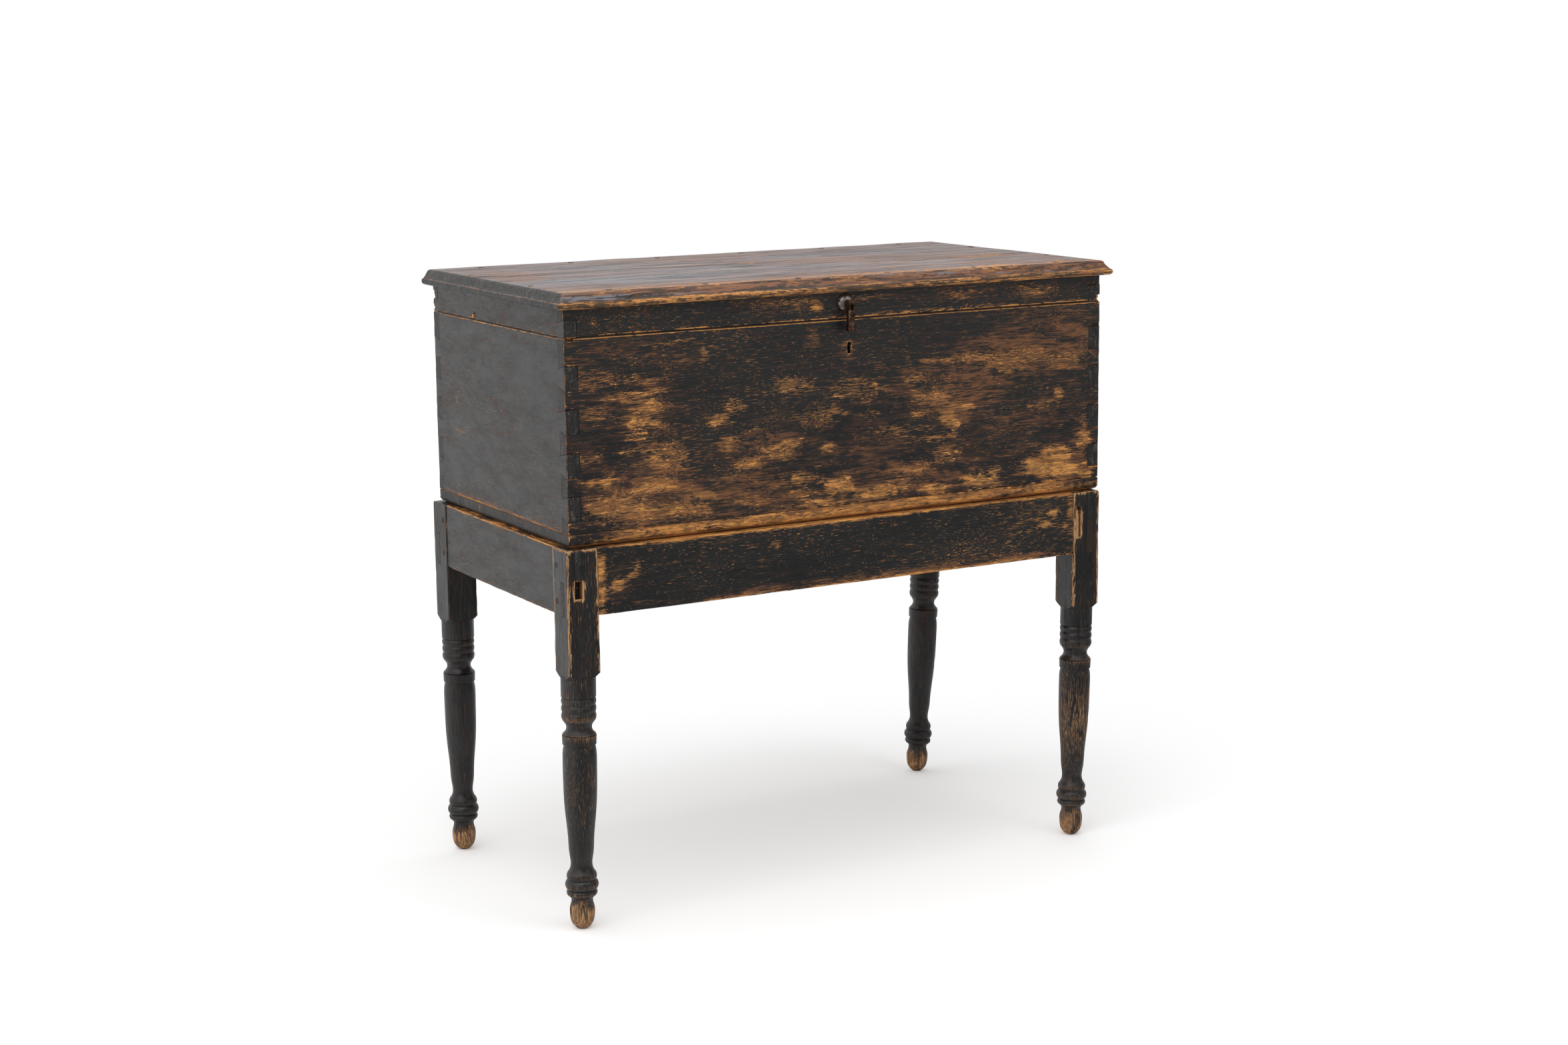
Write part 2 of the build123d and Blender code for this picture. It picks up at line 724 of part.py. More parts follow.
# ---- Keeper, let into the lower edge of the lid's front rail ----------------------------------
keeper_screw_places = [
    Location((lock_position + side * keeper_screw_x, lock_mid_y, seam), (180, 0, 0))
    for side in (-1, 1)
]
keeper_bores = driven(keeper_screw_places, "keeper_screws")
with BuildPart() as lock_keeper:
    with BuildSketch(Plane.XY.offset(seam)):
        with Locations((lock_position, lock_mid_y)):
            Rectangle(keeper_width, lock_depth)
    extrude(amount=keeper_plate)
    with BuildSketch(Plane.YZ.offset(lock_position)):
        with Locations((lock_mid_y, seam - loop_drop / 2)):
            Rectangle(loop_width, loop_drop)
        with Locations((lock_mid_y, bolt_level)):
            Rectangle(bolt_thickness + 2 * loop_play, bolt_height + 2 * loop_play,
                      mode=Mode.SUBTRACT)
    extrude(amount=loop_thickness / 2, both=True)
    add(keeper_bores, mode=Mode.SUBTRACT)
save(lock_keeper.part, "lock_keeper")
keeper_seat = pocket(Plane.XY.offset(seam), (lock_position, lock_mid_y),
                     keeper_width + 2 * joint_gap, lock_depth + 2 * joint_gap,
                     keeper_plate + joint_gap)


# ---- Pull -------------------------------------------------------------------------------------
pivot_y = case_front - pull_stand_off
pivot_z = seam + pull_height
stem_y = pivot_y + ear_radius + ear_clearance
stem_length = inner_front + nut_height + post_end - stem_y
fork_width = knuckle_width + 2 * fork_gap + 2 * ear_thickness
drop_top = pivot_z - drop_neck
barrel_top = drop_top - upper_collar_height
lower_collar_top = barrel_top - barrel_height
drop_bottom = lower_collar_top - lower_collar_height


def post_disc(y, radius):
    """A circle round the post's axis, in the XZ plane at y."""
    with BuildSketch(Plane.XZ.offset(-y)) as disc:
        with Locations((pull_position, pivot_z)):
            Circle(radius)
    return disc.sketch


def pivot_disc(radius):
    """A circle round the drop's pivot, in the YZ plane through the post."""
    with BuildSketch(Plane.YZ.offset(pull_position)) as disc:
        with Locations((pivot_y, pivot_z)):
            Circle(radius)
    return disc.sketch


def bar(size, level):
    """Section of the drop: a square bar with its corners taken off."""
    with BuildSketch(Plane.XY.offset(level)) as section:
        with Locations((pull_position, pivot_y)):
            Rectangle(size, size)
        chamfer(section.vertices(), facet)
    return section.sketch


with BuildPart() as post_bore:
    extrude(post_disc(case_front, post_radius + tight_fit), amount=-board_thickness)

with BuildPart() as pull_post:
    extrude(post_disc(stem_y, post_radius), amount=-stem_length)
    extrude(pivot_disc(knuckle_radius), amount=knuckle_width / 2, both=True)
    with BuildSketch(Plane.YZ.offset(pull_position)):
        with Locations(((pivot_y + stem_y) / 2, pivot_z)):
            Rectangle(stem_y - pivot_y + tongue_root, 2 * post_radius)
    extrude(amount=knuckle_width / 2, both=True)
    extrude(pivot_disc(pull_pin_radius + running_fit), amount=knuckle_width, both=True,
            mode=Mode.SUBTRACT)
save(pull_post.part, "pull_post")

with BuildPart() as pull_rosette:
    rosette_plane = Plane((pull_position, case_front, pivot_z), x_dir=(1, 0, 0), z_dir=(0, 0, 1))
    with BuildSketch(rosette_plane):
        with BuildLine():
            bore = post_radius + tight_fit
            Polyline((bore, -rosette_height), (bore, 0), (rosette_radius, 0),
                     (rosette_radius, -rosette_rim))
            ThreePointArc((rosette_radius, -rosette_rim), (dome_radius, -dome_height),
                          (bore, -rosette_height))
        make_face()
    revolve(axis=Axis((pull_position, 0, pivot_z), (0, 1, 0)))
save(pull_rosette.part, "pull_rosette")

with BuildPart() as pull_nut:
    with BuildSketch(inner_plane):
        with Locations((pull_position, pivot_z)):
            Rectangle(nut_size, nut_size, rotation=nut_turn)
    extrude(amount=-nut_height)
    chamfer(pull_nut.faces().sort_by(Axis.Y)[-1].edges(), nut_chamfer)
    extrude(post_disc(inner_front, post_radius + tight_fit), amount=-nut_height, mode=Mode.SUBTRACT)
save(pull_nut.part, "pull_nut")

with BuildPart() as pull_drop:
    extrude(bar(collar_size, barrel_top), amount=upper_collar_height)
    chamfer(pull_drop.faces().sort_by(Axis.Z)[-1].edges(), collar_bevel)
    extrude(bar(lower_collar_size, drop_bottom), amount=lower_collar_height)
    chamfer(pull_drop.faces().sort_by(Axis.Z)[0].edges(), collar_bevel)
    extrude(bar(barrel_size, lower_collar_top), amount=barrel_height)
    extrude(pivot_disc(ear_radius), amount=fork_width / 2, both=True)
    with BuildSketch(Plane.YZ.offset(pull_position)):
        with Locations((pivot_y, (pivot_z + drop_top) / 2)):
            Rectangle(2 * ear_radius, pivot_z - drop_top)
    extrude(amount=fork_width / 2, both=True)
    with BuildSketch(Plane.YZ.offset(pull_position)):
        with Locations((pivot_y, (pivot_z + ear_radius + drop_top) / 2)):
            Rectangle(2 * ear_radius, pivot_z + ear_radius - drop_top)
    extrude(amount=knuckle_width / 2 + fork_gap, both=True, mode=Mode.SUBTRACT)
    extrude(pivot_disc(pull_pin_radius + tight_fit), amount=fork_width, both=True,
            mode=Mode.SUBTRACT)
save(pull_drop.part, "pull_drop")

with BuildPart() as pull_pin:
    extrude(pivot_disc(pull_pin_radius), amount=fork_width / 2, both=True)
save(pull_pin.part, "pull_pin")


# ---- Case and lid frame: dovetailed boards ----------------------------------------------------
def case_tail_levels():
    """Low and high level of each tail of a case side, counted down from the top half pin."""
    highest = seam - top_pin_height
    pitch = tail_height + pin_height
    return [(highest - i * pitch - tail_height, highest - i * pitch) for i in range(tail_count)]


def tail_outline(end, base, low, high, low_slope):
    """One tail, wide at the board's end and narrow at its baseline."""
    return [(end, low), (end, high), (base, high - tail_slope), (base, low + low_slope)]


def side_tails(x_mid, levels, low_slope, gap):
    """The tails of one side board at both of its ends, as wood or, grown by a gap, as a cutter."""
    ends = ((case_front, inner_front + gap), (case_back, inner_back - gap))
    with BuildPart() as tails:
        with BuildSketch(Plane.YZ.offset(x_mid)):
            for low, high in levels:
                for end, base in ends:
                    with BuildLine():
                        Polyline(*tail_outline(end, base, low - gap, high + gap, low_slope),
                                 close=True)
                    make_face()
        extrude(amount=board_thickness / 2 + gap, both=True)
    return tails.part


def side_board(x_mid, base, height, levels, low_slope, cuts):
    """A side of the case or of the lid frame: a board with its tails cut at both ends."""
    tails = side_tails(x_mid, levels, low_slope, 0)
    with BuildPart() as board:
        with BuildSketch(Plane.YZ.offset(x_mid)):
            with Locations((case_middle, base + height / 2)):
                Rectangle(inner_depth, height)
        extrude(amount=board_thickness / 2, both=True)
        add(tails)
        for cutter in cuts:
            add(cutter, mode=Mode.SUBTRACT)
    return board.part


def pin_board(y_mid, base, height, levels, low_slope, cuts):
    """A front or back of the case or lid frame: a board with sockets for the sides' tails."""
    sockets = [side_tails(x, levels, low_slope, joint_gap) for x in (side_x_left, side_x_right)]
    with BuildPart() as board:
        with BuildSketch(Plane.XZ.offset(-y_mid)):
            with Locations((0, base + height / 2)):
                Rectangle(case_width, height)
        extrude(amount=board_thickness / 2, both=True)
        for cutter in (*sockets, *cuts):
            add(cutter, mode=Mode.SUBTRACT)
    return board.part


def dado(face_y):
    """Housing for the divider in the inner face of the front or back board."""
    return pocket(Plane.XY.offset(case_base), (divider_position, face_y),
                  divider_thickness + 2 * dado_gap, 2 * dado_depth, divider_height + dado_gap)


side_x_left = case_left + board_thickness / 2
side_x_right = case_right - board_thickness / 2
front_y = case_front + board_thickness / 2
back_y = case_back - board_thickness / 2
case_gains = [gain(x, -1) for x in hinge_places.values()]
lid_gains = [gain(x, 1) for x in hinge_places.values()]
front_cuts = (bottom_nails, dado(inner_front), lock_recess, keyhole_cut.part, lock_bores)
back_cuts = (bottom_nails, dado(inner_back), case_hinge_bores, *case_gains)
lid_front_cuts = (lid_nails, post_bore.part, keeper_seat, keeper_bores)
lid_back_cuts = (lid_nails, lid_hinge_bores, *lid_gains)

case_shape = (case_base, case_height, case_tail_levels(), tail_slope)
lid_shape = (seam, lid_rail_height, [(seam, seam + lid_tail_height)], 0)
save(pin_board(front_y, *case_shape, front_cuts), "case_front")
save(pin_board(back_y, *case_shape, back_cuts), "case_back")
save(side_board(side_x_left, *case_shape, (bottom_nails,)), "case_left")
save(side_board(side_x_right, *case_shape, (bottom_nails,)), "case_right")
save(pin_board(front_y, *lid_shape, lid_front_cuts), "lid_rail_front")
save(pin_board(back_y, *lid_shape, lid_back_cuts), "lid_rail_back")
save(side_board(side_x_left, *lid_shape, (lid_nails,)), "lid_rail_left")
save(side_board(side_x_right, *lid_shape, (lid_nails,)), "lid_rail_right")


# ---- Divider ----------------------------------------------------------------------------------
with BuildPart() as divider:
    with BuildSketch(Plane.XY.offset(case_base)):
        with Locations((divider_position, case_middle)):
            Rectangle(divider_thickness, inner_depth + 2 * (dado_depth - dado_gap))
    extrude(amount=divider_height)
save(divider.part, "bin_divider")


# ---- Bottom boards ----------------------------------------------------------------------------
def bottom_board(front_edge, back_edge, outer):
    """One board of the bottom. Its ends, and an outer long edge, are rounded over."""
    with BuildPart() as board:
        with BuildSketch(Plane.XY.offset(stand_height)):
            with Locations((0, (front_edge + back_edge) / 2)):
                Rectangle(case_width, back_edge - front_edge)
        extrude(amount=bottom_thickness)
        rounded = board.edges().filter_by(Axis.Y)
        if outer is not None:
            rounded += board.edges().filter_by(Axis.X).group_by(Axis.Y)[outer]
        low = rounded.group_by(Axis.Z)[0]
        high = rounded.group_by(Axis.Z)[-1]
        fillet(low, bottom_nose)
        fillet(high, bottom_top_round)
        add(bottom_nails, mode=Mode.SUBTRACT)
    return board.part


half_gap = shrink_gap / 2
save(bottom_board(case_front, front_joint - half_gap, 0), "bottom_board_front")
save(bottom_board(front_joint + half_gap, back_joint - half_gap, None), "bottom_board_middle")
save(bottom_board(back_joint + half_gap, case_back, -1), "bottom_board_back")


# ---- Lid board --------------------------------------------------------------------------------
def moulded_edge(edge, inward):
    """Moulded edge, from the underside to the flat top: a bead, a quirk, a hollow and a round."""
    foot = (edge + inward * bead_foot, lid_base)
    nose = (edge, lid_base + bead_height / 2)
    quirk = (edge + inward * bead_step, lid_base + bead_height)
    shelf = (edge + inward * (bead_step + bead_shelf), lid_base + bead_height)
    hollow = (edge + inward * hollow_run, lid_top - hollow_drop)
    top = (edge + inward * mould_width, lid_top)
    ThreePointArc(foot, nose, quirk)
    Line(quirk, shelf)
    Spline(shelf, hollow, top, tangents=((inward, 0.75), (inward, 0)))
    return foot, top


lid_left = case_left - lid_side_overhang
lid_right = case_right + lid_side_overhang
lid_front = case_front - lid_front_overhang
lid_back = case_back + lid_back_overhang

with BuildPart() as lid_board:
    # Both ends carry the moulding, and so does the front: two long shapes meet at its mitres.
    with BuildSketch(Plane.XZ.offset(-(lid_front + lid_back) / 2)):
        with BuildLine():
            left_foot, left_top = moulded_edge(lid_left, 1)
            right_foot, right_top = moulded_edge(lid_right, -1)
            Line(left_top, right_top)
            Line(left_foot, right_foot)
        make_face()
    extrude(amount=(lid_back - lid_front) / 2, both=True)
    with BuildSketch(Plane.YZ) as long_section:
        with BuildLine():
            front_foot, front_top = moulded_edge(lid_front, 1)
            Polyline(front_top, (lid_back, lid_top), (lid_back, lid_base), front_foot)
        make_face()
        fillet(long_section.vertices().group_by(Axis.X)[-1], lid_back_round)
    extrude(amount=lid_right, both=True, mode=Mode.INTERSECT)
    add(lid_nails, mode=Mode.SUBTRACT)
save(lid_board.part, "lid_board")

print(len(pieces), "pieces:", ", ".join(pieces))
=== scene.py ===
"""Sugar chest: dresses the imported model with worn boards, turned legs and aged metal, and lights it."""

import json
import math

import bmesh
import bpy
import numpy as np
from bpy.props import FloatProperty, FloatVectorProperty, PointerProperty, StringProperty
from bpy.types import Operator, Panel, PropertyGroup
from mathutils import Matrix, Vector
from mathutils.bvhtree import BVHTree


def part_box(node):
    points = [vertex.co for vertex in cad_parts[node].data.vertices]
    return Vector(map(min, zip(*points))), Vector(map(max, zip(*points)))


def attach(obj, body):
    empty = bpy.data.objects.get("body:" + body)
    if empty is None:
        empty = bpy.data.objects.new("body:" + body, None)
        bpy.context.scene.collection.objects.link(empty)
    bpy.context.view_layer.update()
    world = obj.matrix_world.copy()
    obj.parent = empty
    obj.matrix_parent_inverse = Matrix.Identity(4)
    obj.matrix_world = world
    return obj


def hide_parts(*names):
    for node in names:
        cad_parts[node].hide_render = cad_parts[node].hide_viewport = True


bl_info = {
    "name": "Sugar chest",
    "version": (1, 0, 0),
    "blender": (4, 5, 0),
    "location": "View3D > Sidebar > Chest",
    "description": "Builds the worn, painted look of a sugar chest round its packed model",
    "category": "Object",
}

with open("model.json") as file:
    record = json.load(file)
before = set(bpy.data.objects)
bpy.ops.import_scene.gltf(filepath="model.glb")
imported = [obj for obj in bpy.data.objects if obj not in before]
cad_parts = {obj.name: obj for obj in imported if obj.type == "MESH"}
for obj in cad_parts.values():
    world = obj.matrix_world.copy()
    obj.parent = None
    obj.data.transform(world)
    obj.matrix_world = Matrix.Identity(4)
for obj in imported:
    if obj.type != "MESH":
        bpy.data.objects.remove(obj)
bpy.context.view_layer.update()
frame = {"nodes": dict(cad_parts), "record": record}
NODES = frame["nodes"]
BODY = {name: body for body, names in frame["record"]["behaviour"]["bodies"].items() for name in names}
SLOT = {part["node"]: part["material_slot"] for part in frame["record"]["subparts"]}
BOX = {name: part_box(name) for name in NODES}
MM = 0.001
WHITE = (1, 1, 1, 1)


# ---- Places that follow from the frame ----------------------------------------------------------
def low(name):
    """Lowest corner of a CAD node."""
    return BOX[name][0]


def high(name):
    """Highest corner of a CAD node."""
    return BOX[name][1]


SEAM = high("case_front").z
CASE_BASE = low("case_front").z
CASE_FRONT = low("case_front").y
CASE_BACK = high("case_back").y
CASE_LEFT = low("case_front").x
CASE_RIGHT = high("case_front").x
LID_BASE = low("lid_board").z
LID_TOP = high("lid_board").z
LID_FRONT = low("lid_board").y
STAND_TOP = high("rail_front").z
RAIL_BOTTOM = low("rail_front").z
BOARD = high("case_left").x - CASE_LEFT
BLOCK_BELOW_RAIL = 89 * MM
SHOULDER = RAIL_BOTTOM - BLOCK_BELOW_RAIL      # where a leg's square block ends and its turning starts


# ---- Colours ------------------------------------------------------------------------------------
def linear(code):
    """sRGB hex to Blender's linear colour."""
    values = [int(code[i:i + 2], 16) / 255 for i in (0, 2, 4)]
    return (*[v / 12.92 if v <= 0.04045 else ((v + 0.055) / 1.055) ** 2.4 for v in values], 1.0)


class ChestFinish(PropertyGroup):
    """Colours and wear of the chest."""

    paint: StringProperty(
        name="Paint", description="sRGB hex of the sound black paint", default="151617")
    thin_paint: StringProperty(
        name="Thin paint", description="sRGB hex where wood shows through the paint", default="70482a")
    early_wood: StringProperty(
        name="Early wood", description="sRGB hex of rubbed early wood", default="cf9049")
    late_wood: StringProperty(
        name="Late wood", description="sRGB hex of the darker growth rings", default="a26831")
    arris: FloatProperty(
        name="Arris", description="Usual rounding of a free arris", default=1.3 * MM, unit="LENGTH")
    joint: FloatProperty(
        name="Joint", description="Rounding where two boards meet flush", default=0.4 * MM, unit="LENGTH")


class ChestStage(PropertyGroup):
    """The camera's place and aim."""

    camera_place: FloatVectorProperty(
        name="Camera", description="Where the camera stands", default=(-1.9322, -3.4338, 1.2366),
        subtype="XYZ", unit="LENGTH")
    lens: FloatProperty(name="Lens", description="Focal length in mm on a 36 mm sensor", default=59.755)
    yaw: FloatProperty(
        name="Yaw", description="Turn to the right of +Y", default=math.radians(29.6194), subtype="ANGLE")
    pitch: FloatProperty(
        name="Pitch", description="Downward tilt", default=math.radians(10.4734), subtype="ANGLE")
    roll: FloatProperty(
        name="Roll", description="Tilt of the horizon", default=math.radians(-0.6256), subtype="ANGLE")


def finish():
    """The colours and wear that the user has set."""
    return bpy.context.scene.chest_finish


def stage():
    """The camera's place and aim that the user has set."""
    return bpy.context.scene.chest_stage


# ---- Shader helper ------------------------------------------------------------------------------
SMOOTH = {"interpolation_type": "SMOOTHSTEP"}      # of a Map Range node: 0 value, 1 and 2 from, 3 and 4 to
COLOURS = {"data_type": "RGBA"}                    # of a Mix node: 0 factor, 6 and 7 colours


def put(tree, kind, inputs=None, **settings):
    """Add a node with its settings. An input takes a value, sRGB hex, a socket, or a node's first output."""
    made = tree.nodes.new("ShaderNode" + kind)
    for key, value in settings.items():
        setattr(made, key, value)
    for key, value in (inputs or {}).items():
        if isinstance(value, bpy.types.Node):
            value = next(socket for socket in value.outputs if socket.enabled)
        if isinstance(value, bpy.types.NodeSocket):
            tree.links.new(value, made.inputs[key])
        else:
            made.inputs[key].default_value = linear(value) if isinstance(value, str) else value
    return made


# ---- Worn meshes --------------------------------------------------------------------------------
WELD = 0.01 * MM
FLAT = math.radians(0.6)
SHARP = math.radians(35)
SHORTEST = 4.5 * MM            # shorter edges are facets of round work
ARRIS_BIT = 15 * MM            # an arris is judged bit by bit, because a board may lie along a part of it
STRIPS = (0.5 * MM, 1.2 * MM, 2.6 * MM, 5.5 * MM)      # cuts beside a face's edge, for its rounding
NARROWEST = 0.3 * MM           # between two cuts
TOUCH = 0.3 * MM
FAR = 20.0                     # mm, written where no arris is near
FREE, JOINT, PARTING = range(3)
# What each point of a worn mesh knows: mm to the nearest arris of each kind, whether it is broken wood, and
# how rubbed and how thin its paint is.
WORN_PLACES = ("free_mm", "joint_mm", "part_mm", "raw", "rub", "haze")
NO_DIP_MM = 6                  # a face stays true this near to a joint, so that the boards still meet
TREES = {}


def tree_of(name):
    """Search tree of a CAD node's surface."""
    if name not in TREES:
        mesh = NODES[name].data
        TREES[name] = BVHTree.FromPolygons([v.co for v in mesh.vertices], [p.vertices for p in mesh.polygons])
    return TREES[name]


def welded(name):
    """A CAD node's mesh, welded, with the triangles of its flat faces taken out."""
    bm = bmesh.new()
    bm.from_mesh(NODES[name].data)
    bmesh.ops.remove_doubles(bm, verts=bm.verts, dist=WELD)
    bmesh.ops.dissolve_limit(bm, angle_limit=FLAT, verts=bm.verts, edges=bm.edges)
    return bm


def neighbours(name):
    """CAD nodes whose boxes touch this one's."""
    margin = Vector((TOUCH,) * 3)
    lowest, highest = low(name) - margin, high(name) + margin
    return [n for n in NODES if n != name and not n.endswith(("nails", "screws", "pegs"))
            and all(low(n)[i] <= highest[i] and high(n)[i] >= lowest[i] for i in range(3))]


def arrises(name, bm, floor):
    """Each sharp outer edge above the floor: its ends, its faces' normals, and what lies along each bit."""
    around = neighbours(name)
    rows = []
    for edge in bm.edges:
        if len(edge.link_faces) != 2 or not edge.is_convex or edge.calc_length() < SHORTEST:
            continue
        if edge.calc_face_angle() < SHARP or max(v.co.z for v in edge.verts) < floor:
            continue
        start, end = (v.co.copy() for v in edge.verts)
        first, second = (f.normal.copy() for f in edge.link_faces)
        count = max(1, round(edge.calc_length() / ARRIS_BIT))
        kinds = []
        for i in range(count):
            middle = start.lerp(end, (i + 0.5) / count)
            kind = FREE
            for normal in (first, second):
                place = middle - normal * MM
                for other in around:
                    if tree_of(other).find_nearest(place, TOUCH)[0] is not None:
                        kind = JOINT if BODY[other] == BODY[name] else PARTING
            kinds.append(kind)
        rows.append((np.array(start), np.array(end), np.array(first), np.array(second), np.array(kinds)))
    return rows


def slice_along(bm, axis, places, floor):
    """Cut a mesh by planes across one axis, only above the floor level where one is given."""
    normal = Vector([float(i == axis) for i in range(3)])
    for place in places:
        if floor is None:
            geometry = bm.verts[:] + bm.edges[:] + bm.faces[:]
        else:
            above = {v for v in bm.verts if v.co.z > floor - WELD}
            geometry = (list(above) + [e for e in bm.edges if above.issuperset(e.verts)]
                        + [f for f in bm.faces if above.issuperset(f.verts)])
        bmesh.ops.bisect_plane(bm, geom=geometry, dist=WELD / 10, plane_co=normal * place, plane_no=normal)


def spread(lowest, highest, pitch, extra):
    """Places of the cuts between two faces: strips beside both, the extra ones, and an even run."""
    places = [lowest + s for s in STRIPS] + [highest - s for s in STRIPS] + extra
    count = max(2, round((highest - lowest) / pitch))
    places += [lowest + (highest - lowest) * i / count for i in range(1, count)]
    kept = []
    for place in sorted(places):
        inside = lowest + NARROWEST < place < highest - NARROWEST
        if inside and (not kept or place - kept[-1] > NARROWEST):
            kept.append(place)
    return kept


def field(points, size, seed):
    """Smooth noise from about -1 to 1 at each point, as waves of about this size in all directions."""
    chance = np.random.default_rng(seed)
    total = np.zeros(len(points))
    for _ in range(7):
        direction = chance.normal(size=3)
        direction *= chance.uniform(2.2, 5.5) / np.linalg.norm(direction)
        total += np.sin(points @ (direction / np.array(size)) + chance.uniform(0, 2 * math.pi))
    return np.clip(total / 3, -1, 1)


def round_arrises(points, rows, seed, wear):
    """Wear the arrises round. Gives the new points, and mm to the nearest arris of each kind."""
    moved = points.copy()
    near_mm = np.full((3, len(points)), FAR)
    settings = finish()
    radius_of = np.array((settings.arris * wear, settings.joint, settings.arris * 0.8))
    most = 2.4 * max(radius_of)
    for start, end, first, second, kinds in rows:
        margin = FAR * MM
        close = np.flatnonzero(((points > np.minimum(start, end) - margin)
                                & (points < np.maximum(start, end) + margin)).all(axis=1))
        along = end - start
        part = np.clip((points[close] - start) @ along / (along @ along), 0, 1)
        nearest = start + part[:, None] * along
        offset = points[close] - nearest
        distance = np.linalg.norm(offset, axis=1)
        kind = kinds[np.minimum((part * len(kinds)).astype(int), len(kinds) - 1)]
        near_mm[kind, close] = np.minimum(near_mm[kind, close], distance / MM)
        near = np.flatnonzero(distance < most)
        if not len(near):
            continue
        spots = nearest[near]
        dents = np.maximum(0, field(spots, 9 * MM, seed + 5) - 0.45)
        swell = 0.8 + 0.45 * field(spots, 28 * MM, seed) + 1.6 * dents
        radius = radius_of[kind[near]] * np.clip(swell, 0.35, 2.4)
        d = distance[near]
        inside = d < radius
        near, radius, d = near[inside], radius[inside], d[inside]
        turn = math.pi / 4 * (1 - d / radius)
        drop = radius * (1 - np.cos(turn))
        slide = radius * (1 - np.sin(turn)) - d
        for face, other in ((first, second), (second, first)):
            on = np.abs(offset[near] @ face) < WELD
            moved[close[near[on]]] -= drop[on, None] * face
            alone = on & (d > WELD)
            moved[close[near[alone]]] -= slide[alone, None] * other
    return moved, near_mm


LEVEL_STREAK = (70 * MM, 70 * MM, 7 * MM)      # wear follows the grain, which runs level in every board


def rubbed(points, axes, patches, seed):
    """How far the paint is rubbed at each point, from oval patches in mm that the grain makes ragged."""
    level = np.zeros(len(points))
    ragged = 0.15 * field(points, 8 * MM, seed + 1) + 0.40 * field(points, LEVEL_STREAK, seed)
    for across, up, half_across, half_up, strength in patches:
        reach = np.hypot((points[:, axes[0]] / MM - across) / half_across,
                         (points[:, axes[1]] / MM - up) / half_up)
        t = np.clip((1.45 - (reach + ragged)) / 0.9, 0, 1)
        level = np.maximum(level, strength * t * t * (3 - 2 * t))
    return level * (1 + 0.22 * field(points, LEVEL_STREAK, seed + 2))


# Levels on a turned leg, in mm above the floor.
BALL_TOP = 46
BALL_FADE = 20                 # over which its bare wood gives way to paint
VASE_BELLY = 190
VASE_REACH = 70                # of the rubbing, up and down from the belly
BELOW_SHOULDER = 22            # the rings start this far under the shoulder


def turned_wear(points, vase, crests):
    """Wear of a turned leg: a bare ball foot, rubbed crests of the rings, and a rubbed belly of the vase."""
    turned = points[points[:, 2] < SHOULDER]
    order = np.argsort(turned[:, 2])
    height = turned[order, 2]
    # The leg leans a little, so its middle is a straight line through the turned part.
    lean = [np.polyfit(height, turned[order, axis], 1) for axis in (0, 1)]
    radius = np.hypot(*(turned[order, axis] - np.polyval(lean[axis], height) for axis in (0, 1)))
    levels = np.arange(0, SHOULDER, MM)
    radii = np.interp(levels, height, radius)
    width = 25                 # levels in the running mean, which the rings stand proud of
    smooth = np.convolve(np.pad(radii, width // 2, mode="edge"), np.ones(width) / width, mode="valid")
    proud = np.interp(points[:, 2], levels, (radii - smooth) / MM, right=0)
    crest = 0.5 * crests * np.clip((proud - 0.4) / 1.6, 0, 1)
    crest *= points[:, 2] < SHOULDER - BELOW_SHOULDER * MM
    foot = np.clip((BALL_TOP - points[:, 2] / MM + 6 * field(points, 12 * MM, 3)) / BALL_FADE, 0, 1)
    belly = vase * np.exp(-((points[:, 2] / MM - VASE_BELLY) / VASE_REACH) ** 2)
    return np.maximum(1.2 * foot, crest + belly), np.maximum(1.3 * foot, crest + 0.5 * belly)


def bite(points, centre, radius, seed):
    """Take a rough scoop out of an edge: what lies in the ball moves to its surface."""
    offset = points - np.array(centre)
    distance = np.linalg.norm(offset, axis=1)
    ragged = radius * (1 + 0.25 * field(points, 3 * MM, seed))
    inside = (distance < ragged) & (distance > WELD)
    points[inside] = np.array(centre) + offset[inside] * (ragged / np.maximum(distance, WELD))[inside, None]
    return inside


